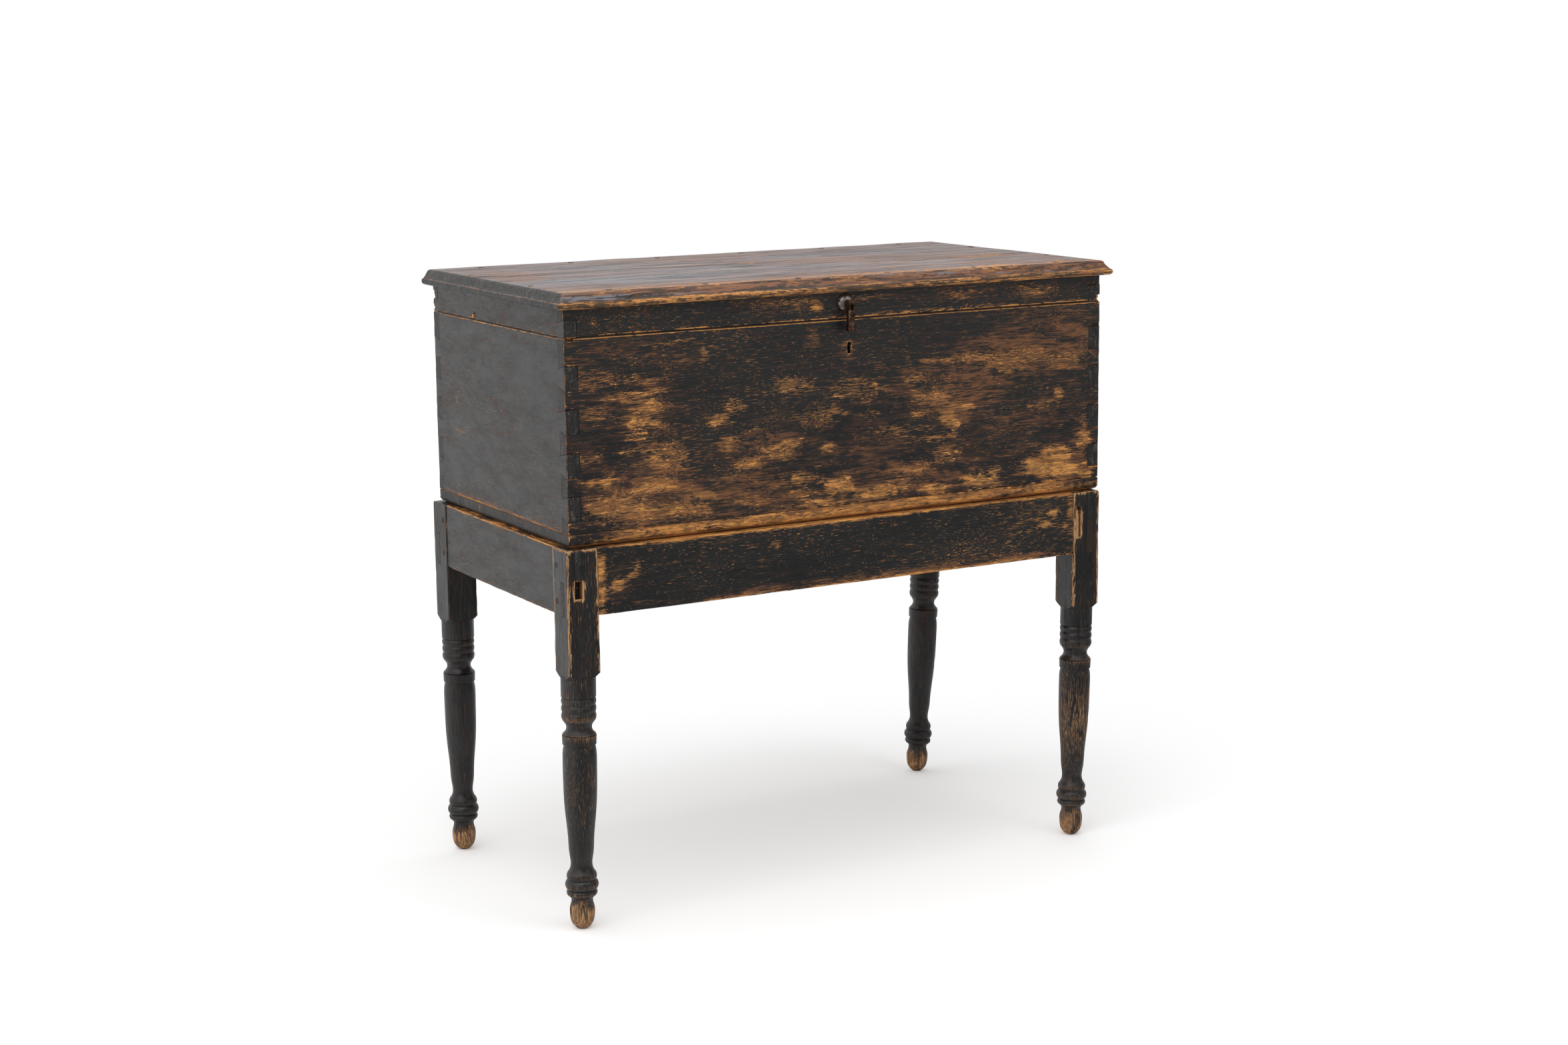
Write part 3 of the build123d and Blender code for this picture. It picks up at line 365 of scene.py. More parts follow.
def dress(name, materials, seed, pitch=9, wear=1.0, sort=None, bites=(), floor=None, sway=0.25, axes=(0, 2),
          rubs=(), haze=(), worn_by=None):
    """A worn visual piece that stands for one CAD node, cut every few mm (pitch) for its wear.

    Sort gives the number of a face's material from its middle and its normal. Bites are lumps knocked out:
    centre and radius. Below the floor nothing is cut or rounded. Sway is how far a face dips, in mm. The wear
    comes from oval patches of rubs and haze across these axes, or from the function worn_by."""
    bm = welded(name)
    rows = arrises(name, bm, floor or 0.0)
    lowest, highest = low(name), high(name)
    more = [[], [], []]
    for centre, radius in bites:
        for axis in range(3):
            more[axis] += [centre[axis] + step * radius for step in np.arange(-1, 1.01, 0.25)]
    if floor is not None:
        slice_along(bm, 2, [floor], None)
    for axis in range(3):
        start = lowest[axis] if axis < 2 or floor is None else floor
        slice_along(bm, axis, spread(start, highest[axis], pitch * MM, more[axis]), floor)
    bm.normal_update()
    points = np.array([v.co for v in bm.verts])
    normals = np.array([v.normal for v in bm.verts])
    worn, near_mm = round_arrises(points, rows, seed, wear)
    # Hand-planed faces are never quite flat: each dips a little and never rises above the true face.
    dip = sway * MM * (0.5 + 0.5 * field(points, 80 * MM, seed + 11))
    dip *= np.clip(near_mm[JOINT] / NO_DIP_MM, 0, 1)
    worn -= dip[:, None] * normals
    raw = np.zeros(len(points))
    for i, (centre, radius) in enumerate(bites):
        raw[bite(worn, centre, radius, seed + i)] = 1.0
    if worn_by:
        rub, thin = worn_by(points)
    else:
        rub, thin = (rubbed(points, axes, patches, seed + 21) for patches in (rubs, haze))
    sides = [sort(f.calc_center_median(), f.normal) if sort else 0 for f in bm.faces]
    for vertex, place in zip(bm.verts, worn):
        vertex.co = place
    bm.normal_update()
    for face, side in zip(bm.faces, sides):
        face.smooth = True
        face.material_index = side
    for edge in bm.edges:
        edge.smooth = len(edge.link_faces) == 2 and edge.calc_face_angle() < SHARP
    mesh = bpy.data.meshes.new(name + "_worn")
    bm.to_mesh(mesh)
    bm.free()
    for key, values in zip(WORN_PLACES, (*near_mm, raw, rub, thin)):
        mesh.attributes.new(key, "FLOAT", "POINT").data.foreach_set("value", values.astype(np.float32))
    for material in materials:
        mesh.materials.append(material)
    piece = bpy.data.objects.new(name + "_worn", mesh)
    bpy.context.scene.collection.objects.link(piece)
    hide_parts(name)
    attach(piece, BODY[name])


# ---- Materials ----------------------------------------------------------------------------------
ALONG = {"X": (0, 1, 2), "Y": (1, 0, 2), "Z": (2, 0, 1)}       # grain along, across, and through
RING = 3.4 * MM                # growth rings of slow-grown pine
# Sizes along and across the grain.
FIBRE = (34 * MM, 1.1 * MM)    # drawn coarser than real fibres, which are too fine to show
STREAK = (130 * MM, 5 * MM)
DASH = (17 * MM, 4.2 * MM)     # short flakes of lost paint, longer along the grain
LINE = (46 * MM, 2.0 * MM)     # dark lines left where a brush dragged the paint along the grain
BLOT = (60 * MM, 24 * MM)
SCRATCH = (16 * MM, 0.9 * MM)
PORE = (14 * MM, 1.1 * MM)
CRACK = (220 * MM, 14 * MM)
BROAD = (240 * MM, 110 * MM)
BEND = (90 * MM, 60 * MM)      # waves of the grain, which the wear follows
BEND_ACROSS = 26 * MM          # and how far they go, from side to side
RING_BEND = (260 * MM, 70 * MM)
RING_BEND_ACROSS = 30 * MM
LID_BLOT = (150 * MM, 30 * MM)         # the lid is one long board, scrubbed along its grain
LID_STREAK = (300 * MM, 9 * MM)
LID_BROAD = (420 * MM, 130 * MM)
END_GRIT = (1.8 * MM, 1.5 * MM)        # pores of sawn ends, drawn coarser than real ones
END_PATCH = (16 * MM, 9 * MM)
LEG_DASH = (17 * MM, 2.2 * MM)         # flakes on a leg, narrow because its surface is round
IRON_RUST = 9 * MM
IRON_GRIT = 1.2 * MM
BRASS_PATINA = 6 * MM
BRASS_GRIT = 0.8 * MM
# How far from an arris its wear, or its dirt and painted shade, is full, and where it ends, in mm.
SEAM_WORN = (2.0, 3.6)         # at a gap between two pieces that part
# a near-black line of dirt and painted shade along the gap
SEAM_GRIME_AND_SHADE = (1.3, 1.9)
FLUSH_WORN = (0.7, 1.8)        # where two boards meet flush
# a near-black line of dirt and painted shade where two boards meet flush
FLUSH_GRIME_AND_SHADE = (0.45, 0.95)
FREE_WORN = 3.4


def new_material(name):
    """An empty node material, and its tree."""
    material = bpy.data.materials.new(name)
    material.use_nodes = True
    material.node_tree.nodes.clear()
    return material, material.node_tree


def surfaced(material, tree, colour, matt, height, relief=1.0, **sockets):
    """Close a material: colour and roughness on its shader, and its height in mm as a bump."""
    bump = put(tree, "Bump", {"Strength": relief, "Distance": MM, "Height": height})
    shader = put(tree, "BsdfPrincipled", {"Base Color": colour, "Roughness": matt, "Normal": bump, **sockets})
    put(tree, "OutputMaterial", {"Surface": shader})
    return material


def grain_space(tree, grain):
    """Object coordinates in metres, turned so that X runs along the grain."""
    apart = put(tree, "SeparateXYZ", {0: put(tree, "TexCoord").outputs["Object"]})
    return put(tree, "CombineXYZ", {i: apart.outputs[axis] for i, axis in enumerate(ALONG[grain])})


def figure(tree, space, size, seed, detail=3.0, rough=0.55):
    """How strongly the wood's figure of one size (along, across) shows: about 0.5, and seldom under 0.3."""
    placed = put(tree, "Mapping", {"Vector": space, "Location": (seed, seed * 1.7, seed * 2.3),
                                   "Scale": (1 / size[0], 1 / size[1], 1 / size[1])})
    return put(tree, "TexNoise", {"Vector": placed, "Scale": 1.0, "Detail": detail, "Roughness": rough})


def adding_up(tree, start, *terms):
    """What several causes of wear add up to: the start and each value times its weight."""
    total = start
    for value, weight in terms:
        total = put(tree, "Math", {0: value, 1: weight, 2: total}, operation="MULTIPLY_ADD")
    return total


def pine(tree, space, heart, seed, early, late):
    """Colour of bare pine: growth rings with fibres and broad streaks. The heart is the middle of the rings,
    across and through the board in metres, and lies outside it."""
    bend = figure(tree, space, RING_BEND, seed, 2.0)
    apart = put(tree, "SeparateXYZ", {0: space})
    shift = put(tree, "Math", {0: bend, 1: RING_BEND_ACROSS, 2: -RING_BEND_ACROSS / 2 - heart[0]},
                operation="MULTIPLY_ADD")
    across = put(tree, "Math", {0: apart.outputs[1], 1: shift}, operation="ADD")
    through = put(tree, "Math", {0: apart.outputs[2], 1: heart[1]}, operation="SUBTRACT")
    flat = put(tree, "CombineXYZ", {1: across, 2: through})
    radius = put(tree, "VectorMath", {0: flat}, operation="LENGTH").outputs["Value"]
    turns = put(tree, "Math", {0: radius, 1: 1 / RING}, operation="MULTIPLY")
    turn = put(tree, "Math", {0: turns}, operation="FRACT")
    ring = put(tree, "MapRange", {0: turn, 1: 0.35, 2: 0.92}, **SMOOTH)
    level = adding_up(tree, -1.45, (ring, 0.5), (figure(tree, space, FIBRE, seed + 1), 1.3),
                      (figure(tree, space, STREAK, seed + 2), 1.2))
    dark = put(tree, "MapRange", {0: level, 1: -0.3, 2: 0.5}, **SMOOTH)
    return put(tree, "Mix", {0: dark, 6: early, 7: late}, **COLOURS)


def wavy(tree, space, seed):
    """Grain space bent a little across the grain."""
    bend = figure(tree, space, BEND, seed, 1.0)
    shift = put(tree, "Math", {0: bend, 1: BEND_ACROSS, 2: -BEND_ACROSS / 2}, operation="MULTIPLY_ADD")
    return put(tree, "VectorMath", {0: space, 1: put(tree, "CombineXYZ", {1: shift})}, operation="ADD")


def drying_cracks(tree, space, seed, width, amount):
    """Dark lines along the grain, gathered in a few places, from 0 to the amount."""
    middle = put(tree, "Math", {0: figure(tree, space, CRACK, seed, 1.0), 1: 0.5}, operation="SUBTRACT")
    line = put(tree, "Math", {0: middle}, operation="ABSOLUTE")
    line = put(tree, "MapRange", {0: line, 1: 0.4 * width, 2: width, 3: amount, 4: 0.0}, **SMOOTH)
    place = put(tree, "MapRange", {0: figure(tree, space, BLOT, seed + 1), 1: 0.50, 2: 0.56}, **SMOOTH)
    return put(tree, "Math", {0: line, 1: place}, operation="MULTIPLY")


def painted_pine(name, grain, heart, seed, worn=0.0, thin_all=0.0, roughness=0.42, paint=None,
                 wood_colours=None, dash_size=DASH, cracks=(0.009, 0.6), scratches=0.5, edge_wear=0.62,
                 edge_reach=FREE_WORN):
    """Pine boards brushed with thin black paint and rubbed by long use: the black keeps a low sheen, goes
    brown where it is thin, and the wood under it shows matt and orange at arrises and in patches.

    Worn and thin_all add bare wood and thin paint everywhere, edge_wear and edge_reach (mm) rule the open
    arrises, and cracks gives how wide and how dark the drying cracks are."""
    settings = finish()
    material, tree = new_material(name)
    space = grain_space(tree, grain)
    bent = wavy(tree, space, seed + 9)
    fibre = figure(tree, space, FIBRE, seed, 2.0)
    dash = figure(tree, bent, dash_size, seed + 3, 3.0, 0.62)
    drag = figure(tree, bent, LINE, seed + 12, 2.0, 0.6)
    blot = figure(tree, bent, BLOT, seed + 4, 4.0, 0.6)
    streak = figure(tree, bent, STREAK, seed + 5)
    scratch = figure(tree, bent, SCRATCH, seed + 6, 1.0)
    broad = figure(tree, space, BROAD, seed + 7, 2.0)
    free, jointed, parting, raw, rub, haze = (
        put(tree, "Attribute", attribute_name=place).outputs["Fac"] for place in WORN_PLACES)

    # The arrises wear first: free ones widely, those at a gap in a thin bright line, flush ones hardly.
    edge = put(tree, "MapRange", {0: free, 1: 0.2, 2: edge_reach, 3: edge_wear, 4: 0.0}, **SMOOTH)
    for near, (full, end), strength in ((parting, SEAM_WORN, 2.6 * edge_wear), (jointed, FLUSH_WORN, 0.42)):
        line = put(tree, "MapRange", {0: near, 1: full, 2: end, 3: strength, 4: 0.0}, **SMOOTH)
        edge = put(tree, "Math", {0: edge, 1: line}, operation="MAXIMUM")
    wear = adding_up(tree, worn - 3.40, (rub, 1.0), (edge, 1.0), (raw, 1.0),
                     (dash, 3.6), (blot, 1.0), (drag, 1.8))
    bare = put(tree, "MapRange", {0: wear, 1: 0.74, 2: 0.81}, **SMOOTH)
    scratched = adding_up(tree, 0.0, (scratch, 1.0), (broad, 0.3), (rub, 0.35))
    scratched = put(tree, "MapRange", {0: scratched, 1: 0.80, 2: 0.87, 3: 0.0, 4: scratches}, **SMOOTH)
    bare = put(tree, "Math", {0: bare, 1: scratched}, operation="MAXIMUM")
    thinness = adding_up(tree, thin_all - 3.8, (haze, 0.7), (rub, 0.3), (edge, 0.5), (raw, 1.0),
                         (blot, 1.0), (streak, 1.4), (dash, 1.6), (drag, 3.0), (fibre, 0.8))
    thin = put(tree, "MapRange", {0: thinness, 1: 0.30, 2: 0.66}, **SMOOTH)
    film = adding_up(tree, -1.9, (haze, 0.7), (blot, 1.0), (drag, 1.8), (broad, 0.6))
    film = put(tree, "MapRange", {0: film, 1: 0.1, 2: 0.8}, **SMOOTH)
    film = put(tree, "Mix", {0: film, 6: "35241c", 7: settings.thin_paint}, **COLOURS)

    early, late = wood_colours or (settings.early_wood, settings.late_wood)
    wood = pine(tree, space, heart, seed + 8, early, late)
    pores = figure(tree, bent, PORE, seed + 10)
    pores = put(tree, "MapRange", {0: pores, 1: 0.34, 2: 0.46, 3: 0.8, 4: 0.0}, **SMOOTH)
    wood = put(tree, "Mix", {0: pores, 6: wood, 7: "4a3222"}, **COLOURS)
    brushed = adding_up(tree, 0.0, (fibre, 0.6), (broad, 0.4))
    brushed = put(tree, "MapRange", {0: brushed, 1: 0.38, 2: 0.62}, **SMOOTH)
    crack = drying_cracks(tree, space, seed + 11, *cracks)
    # Near-black lines: drying cracks, and dirt with painted shade along the gaps and flush joints.
    grime_and_shade = crack
    for near, (full, end), strength in ((parting, SEAM_GRIME_AND_SHADE, 0.95), (jointed, FLUSH_GRIME_AND_SHADE, 0.9)):
        line = put(tree, "MapRange", {0: near, 1: full, 2: end, 3: strength, 4: 0.0}, **SMOOTH)
        grime_and_shade = put(tree, "Math", {0: grime_and_shade, 1: line}, operation="MAXIMUM")
    colour = paint or settings.paint
    # The last layer paints these cracks, and the dirt and painted shade, near-black.
    for cover, over in ((brushed, "232221"), (thin, film), (bare, wood), (grime_and_shade, "0d0b0a")):
        colour = put(tree, "Mix", {0: cover, 6: colour, 7: over}, **COLOURS)

    matt = adding_up(tree, roughness - 0.42, (bare, 0.2), (dash, 0.24), (thin, 0.06),
                     (broad, 0.2), (blot, 0.4))
    height = adding_up(tree, 0.0, (bare, -0.10), (fibre, 0.12), (dash, 0.10), (crack, -0.6))
    return surfaced(material, tree, colour, matt, height, **{"IOR": 1.5, "Specular IOR Level": 0.45})


def scrubbed_lid_pine(name, seed):
    """The lid's top, scrubbed and handled until the paint is a stain: brown and orange wood with long streaks
    of blue-grey, partly grey weathering and partly painted sheen, and black in the grain, black film in the
    hollow, and a bare bead along the front."""
    settings = finish()
    material, tree = new_material(name)
    space = grain_space(tree, "X")
    bent = wavy(tree, space, seed + 9)
    fibre = figure(tree, space, FIBRE, seed, 2.0)
    dash = figure(tree, bent, DASH, seed + 3, 3.0, 0.65)
    blot = figure(tree, bent, LID_BLOT, seed + 4, 4.0, 0.6)
    streak = figure(tree, space, LID_STREAK, seed + 5, 4.0, 0.65)
    film = figure(tree, space, STREAK, seed + 6, 3.0, 0.6)
    broad = figure(tree, space, LID_BROAD, seed + 7, 2.0)
    raw, rub, haze = (
        put(tree, "Attribute", attribute_name=place).outputs["Fac"] for place in WORN_PLACES[3:])
    wood = pine(tree, space, (0.05, 0.80), seed + 8, "84563a", "4c3427")
    # Blue-grey streaks along the grain: grey weathering, and partly a painted sheen of the bright room.
    weathering_and_sheen = adding_up(tree, -2.05, (streak, 2.6), (broad, 1.0), (fibre, 0.5), (rub, -0.7))
    weathering_and_sheen = put(tree, "MapRange", {0: weathering_and_sheen, 1: -0.10, 2: 0.12, 3: 0.0, 4: 0.95}, **SMOOTH)
    stain = adding_up(tree, -1.55, (film, 2.1), (blot, 0.7), (fibre, 0.3))
    stain = put(tree, "MapRange", {0: stain, 1: 0.04, 2: 0.20, 3: 0.0, 4: 0.9}, **SMOOTH)
    wear = adding_up(tree, -2.35, (rub, 1.0), (raw, 1.0), (dash, 2.8), (blot, 0.9), (film, 1.0))
    bare = put(tree, "MapRange", {0: wear, 1: 0.50, 2: 0.80}, **SMOOTH)
    bright = pine(tree, space, (0.05, 0.90), seed + 12, settings.early_wood, settings.late_wood)
    black = adding_up(tree, -2.6, (haze, 1.0), (film, 2.0), (dash, 2.4), (fibre, 0.8))
    black = put(tree, "MapRange", {0: black, 1: 0.40, 2: 0.72, 3: 0.0, 4: 0.9}, **SMOOTH)
    crack = drying_cracks(tree, space, seed + 13, 0.008, 0.9)
    colour = wood
    # 706f74 is the blue-grey of weathering and painted sheen.
    for cover, over in ((weathering_and_sheen, "706f74"), (stain, "241a16"), (bare, bright), (black, "2c2723"),
                        (crack, "15110e")):
        colour = put(tree, "Mix", {0: cover, 6: colour, 7: over}, **COLOURS)
    matt = adding_up(tree, -0.50, (bare, 0.1), (dash, 0.3), (streak, 1.3), (film, 0.4))
    height = adding_up(tree, 0.0, (fibre, 0.2), (streak, 0.25), (dash, 0.12), (crack, -0.7))
    return surfaced(material, tree, colour, matt, height, IOR=1.5)


def painted_end_grain(name, seed, paint="211f1e", split=(38 * MM, 7 * MM)):
    """Sawn ends of boards, which drink the paint: dull near-black with pale specks of open pores, split from
    top to bottom by drying, brown at the arrises, and near-black at flush joints with dirt and painted shade."""
    settings = finish()
    material, tree = new_material(name)
    space = grain_space(tree, "Z")
    grit = figure(tree, space, END_GRIT, seed, 3.0)
    patch = figure(tree, space, END_PATCH, seed + 1, 3.0)
    free, jointed, parting, raw = (
        put(tree, "Attribute", attribute_name=place).outputs["Fac"] for place in WORN_PLACES[:4])
    specks = adding_up(tree, 0.0, (grit, 1.0), (patch, 0.6))
    specks = put(tree, "MapRange", {0: specks, 1: 0.86, 2: 1.0, 3: 0.0, 4: 0.55}, **SMOOTH)
    edge = put(tree, "MapRange", {0: free, 1: 0.1, 2: 2.2, 3: 0.55, 4: 0.0}, **SMOOTH)
    line = put(tree, "MapRange", {0: parting, 1: 0.6, 2: 2.2, 3: 0.8, 4: 0.0}, **SMOOTH)
    edge = put(tree, "Math", {0: edge, 1: line}, operation="MAXIMUM")
    bare = adding_up(tree, -0.9, (edge, 1.0), (raw, 1.0), (patch, 0.9), (grit, 0.9))
    bare = put(tree, "MapRange", {0: bare, 1: 0.30, 2: 0.6}, **SMOOTH)
    middle = put(tree, "Math", {0: figure(tree, space, split, seed + 2, 1.0), 1: 0.5}, operation="SUBTRACT")
    splits = put(tree, "Math", {0: middle}, operation="ABSOLUTE")
    splits = put(tree, "MapRange", {0: splits, 1: 0.008, 2: 0.022, 3: 0.9, 4: 0.0}, **SMOOTH)
    # Dirt and painted shade along flush joints, near-black, joined with the dark splits.
    grime_and_shade = put(tree, "MapRange", {0: jointed, 1: 0.3, 2: 0.9, 3: 0.9, 4: 0.0}, **SMOOTH)
    grime_and_shade = put(tree, "Math", {0: grime_and_shade, 1: splits}, operation="MAXIMUM")
    colour = paint
    for cover, over in ((specks, "736a60"), (bare, settings.late_wood), (grime_and_shade, "0c0b0a")):
        colour = put(tree, "Mix", {0: cover, 6: colour, 7: over}, **COLOURS)
    height = adding_up(tree, 0.0, (grit, 0.25), (patch, 0.5), (splits, -0.8))
    return surfaced(material, tree, colour, 0.55, height, IOR=1.5)


def bare_pine(name, grain, heart, seed, early="a8754a", late="7a4c2b"):
    """Pine never painted, browned by age and handling inside the chest: matt, with clear grain, and dark dust
    with painted shade in the corners."""
    material, tree = new_material(name)
    space = grain_space(tree, grain)
    stain = figure(tree, space, BROAD, seed + 4, 4.0)
    stain = put(tree, "MapRange", {0: stain, 1: 0.42, 2: 0.72, 3: 0.0, 4: 0.6}, **SMOOTH)
    jointed = put(tree, "Attribute", attribute_name=WORN_PLACES[JOINT]).outputs["Fac"]
    # darker towards the joints and corners: dust, with painted shade
    dust_and_shade = put(tree, "MapRange", {0: jointed, 1: 0.2, 2: 3.0, 3: 0.8, 4: 0.0}, **SMOOTH)
    colour = pine(tree, space, heart, seed, early, late)
    for cover, over in ((stain, "5c3a22"), (dust_and_shade, "2a1b10")):
        colour = put(tree, "Mix", {0: cover, 6: colour, 7: over}, **COLOURS)
    height = adding_up(tree, 0.0, (figure(tree, space, FIBRE, seed + 5), 0.12))
    return surfaced(material, tree, colour, 0.68, height)


def rusted_iron(name):
    """Wrought iron gone dark with age and handling: rough brown rust over black, duller in its pits."""
    material, tree = new_material(name)
    place = put(tree, "TexCoord").outputs["Object"]
    patch = put(tree, "TexNoise", {"Vector": place, "Scale": 1 / IRON_RUST, "Detail": 6.0})
    grit = put(tree, "TexNoise", {"Vector": place, "Scale": 1 / IRON_GRIT, "Detail": 3.0})
    rust = adding_up(tree, -0.2, (patch, 1.0), (grit, 0.4))
    rust = put(tree, "MapRange", {0: rust, 1: 0.42, 2: 0.6}, **SMOOTH)
    colour = put(tree, "Mix", {0: rust, 6: "2b2623", 7: "5e3a27"}, **COLOURS)
    matt = adding_up(tree, 0.45, (rust, 0.4))
    height = adding_up(tree, 0.0, (grit, 0.12), (patch, 0.2))
    return surfaced(material, tree, colour, matt, height, Metallic=adding_up(tree, 0.8, (rust, -0.8)))


def aged_brass(name, bright, dull, polish):
    """Cast brass, browned by age: satin where fingers rub it, and dull brown in the hollows."""
    material, tree = new_material(name)
    place = put(tree, "TexCoord").outputs["Object"]
    patch = put(tree, "TexNoise", {"Vector": place, "Scale": 1 / BRASS_PATINA, "Detail": 5.0})
    grit = put(tree, "TexNoise", {"Vector": place, "Scale": 1 / BRASS_GRIT, "Detail": 2.0})
    patina = adding_up(tree, -0.15, (patch, 1.0), (grit, 0.3))
    patina = put(tree, "MapRange", {0: patina, 1: polish - 0.12, 2: polish + 0.12}, **SMOOTH)
    colour = put(tree, "Mix", {0: patina, 6: bright, 7: dull}, **COLOURS)
    matt = adding_up(tree, 0.36, (patina, 0.26))
    height = adding_up(tree, 0.0, (grit, 0.05), (patch, 0.15))
    return surfaced(material, tree, colour, matt, height, relief=0.6, Metallic=1.0)


# ---- Pieces -------------------------------------------------------------------------------------
# Where the paint is rubbed through, and where it is only thin: middle across, middle up, half width and half
# height in mm, and how strongly.
FRONT_RUBS = (
    (-410, 675, 25, 15, 0.40), (-405, 735, 20, 15, 0.50), (-390, 640, 30, 12, 0.72),
    (-380, 600, 65, 25, 0.62), (-375, 780, 60, 12, 0.42), (-355, 680, 25, 6, 0.78),
    (-350, 755, 45, 9, 0.66), (-340, 700, 22, 10, 0.55), (-330, 735, 30, 20, 0.70),
    (-325, 715, 30, 10, 0.78), (-320, 625, 50, 11, 0.66), (-290, 665, 40, 16, 0.48),
    (-290, 590, 60, 14, 0.55), (-275, 828, 34, 3, 0.42), (-235, 810, 5, 9, 0.62), (-235, 605, 20, 5, 0.50),
    (-210, 710, 20, 9, 0.62), (-200, 675, 17, 9, 0.62), (-190, 730, 17, 15, 0.52),
    (-170, 645, 20, 6, 0.78), (-155, 590, 30, 6, 0.52), (-105, 662, 35, 13, 0.66),
    (-90, 750, 27, 10, 0.58), (-75, 595, 35, 8, 0.72), (-75, 615, 35, 16, 0.74), (-55, 577, 40, 8, 0.66),
    (-45, 705, 35, 18, 0.46), (-35, 660, 18, 8, 0.78), (-30, 710, 18, 11, 0.56), (-20, 597, 28, 16, 0.78),
    (15, 740, 45, 18, 0.40), (40, 700, 28, 6, 0.50), (70, 585, 48, 12, 0.85), (90, 671, 60, 11, 0.34),
    (115, 616, 45, 14, 0.60), (120, 692, 16, 8, 0.62), (120, 744, 30, 5, 0.62), (140, 655, 30, 5, 0.72),
    (140, 772, 14, 5, 0.72), (147, 582, 30, 8, 0.80), (147, 718, 36, 16, 0.50), (165, 628, 24, 18, 0.58),
    (172, 687, 13, 7, 0.80), (185, 671, 10, 14, 0.76), (185, 700, 38, 11, 0.54), (205, 771, 60, 7, 0.68),
    (232, 584, 40, 13, 0.76), (255, 595, 18, 6, 0.76), (287, 748, 30, 8, 0.56), (317, 766, 80, 14, 0.44),
    (362, 600, 58, 22, 0.92), (375, 709, 8, 8, 0.60), (385, 761, 38, 16, 0.42), (420, 629, 14, 34, 0.70),
    (431, 585, 21, 17, 0.76), (3, 800, 7, 13, 0.40), (-58, 832, 9, 4, 0.62), (340, 690, 30, 7, 0.45),
)
FRONT_HAZE = (
    (-408, 680, 38, 32, 0.65), (-372, 815, 91, 30, 0.50), (-360, 727, 92, 50, 0.70),
    (-349, 613, 118, 46, 1.00), (-150, 600, 110, 36, 0.80), (-119, 668, 98, 39, 0.60),
    (42, 656, 82, 32, 0.60), (89, 600, 113, 28, 0.95), (185, 726, 109, 68, 0.75),
    (317, 771, 136, 44, 0.95), (333, 820, 112, 25, 0.62), (352, 650, 103, 60, 0.55),
    (386, 598, 69, 30, 1.00), (0, 574, 450, 9, 0.60), (-55, 812, 14, 9, 0.80), (3, 798, 16, 20, 0.70),
    (240, 640, 90, 40, 0.45),
)
SIDE_RUBS = (
    (40, 571, 190, 3, 0.75), (-120, 571, 80, 2, 0.65), (150, 669, 22, 3, 0.80), (-26, 674, 5, 3, 0.7),
    (-66, 676, 3, 4, 0.7), (4, 632, 4, 3, 0.7), (-138, 638, 4, 3, 0.7), (-126, 748, 3, 4, 0.7),
    (158, 716, 4, 3, 0.7), (30, 574, 40, 5, 0.66),
)
SIDE_HAZE = ((0, 573, 230, 6, 0.7),)

# Lumps knocked out of a board's edge: where, and how big.
CASE_FRONT_BITES = (
    ((CASE_LEFT + 9 * MM, CASE_FRONT - MM, SEAM + 2 * MM), 7 * MM),
    ((CASE_RIGHT - 3 * MM, CASE_FRONT - MM, SEAM + 2 * MM), 7 * MM),
)


def board_sides(axis, inside=None):
    """Sorts a board's faces: 0 painted, 1 inside the chest, 2 end grain across this axis."""
    def sort(place, normal):
        if abs(normal[axis]) > 0.7:
            return 2
        return int(inside is not None and inside(place, normal))
    return sort


class CHEST_OT_case(Operator):
    """Dress the four dovetailed boards of the case"""

    bl_idname = "chest.case"
    bl_label = "Dovetailed case"

    def execute(self, context):
        inside = bare_pine("aged_pine_inside_case", "X", (0.02, 0.30), 31)
        inside_ends = bare_pine("aged_pine_inside_ends", "Y", (0.62, 0.05), 33)
        front = painted_pine("painted_pine_planed_front", "X", (-0.10, 0.62), 1, thin_all=0.05)
        back = painted_pine("painted_pine_planed_back", "X", (0.12, 0.80), 4, worn=-0.15)
        left = painted_pine("painted_pine_planed_left", "Y", (-0.30, 0.74), 7, worn=-0.08, scratches=0.25,
                            edge_wear=0.5)
        right = painted_pine("painted_pine_planed_right", "Y", (0.30, 0.68), 10, worn=-0.15, scratches=0.25,
                             edge_wear=0.5)
        ends = painted_end_grain("painted_pine_sawn_ends", 90)
        inner_front, inner_back = CASE_FRONT + BOARD - MM, CASE_BACK - BOARD + MM
        inner_left, inner_right = CASE_LEFT + BOARD - MM, CASE_RIGHT - BOARD + MM
        dress("case_front", (front, inside, ends), 11, 5.5, bites=CASE_FRONT_BITES, rubs=FRONT_RUBS,
              haze=FRONT_HAZE,
              sort=board_sides(0, lambda place, normal: place.y > inner_front and normal.y > 0.5))
        dress("case_back", (back, inside, ends), 12,
              sort=board_sides(0, lambda place, normal: place.y < inner_back and normal.y < -0.5))
        dress("case_left", (left, inside_ends, ends), 13, axes=(1, 2), rubs=SIDE_RUBS, haze=SIDE_HAZE,
              sort=board_sides(1, lambda place, normal: place.x > inner_left and normal.x > 0.5))
        dress("case_right", (right, inside_ends, ends), 14, axes=(1, 2), rubs=SIDE_RUBS[:2], haze=SIDE_HAZE,
              sort=board_sides(1, lambda place, normal: place.x < inner_right and normal.x < -0.5))
        return {"FINISHED"}


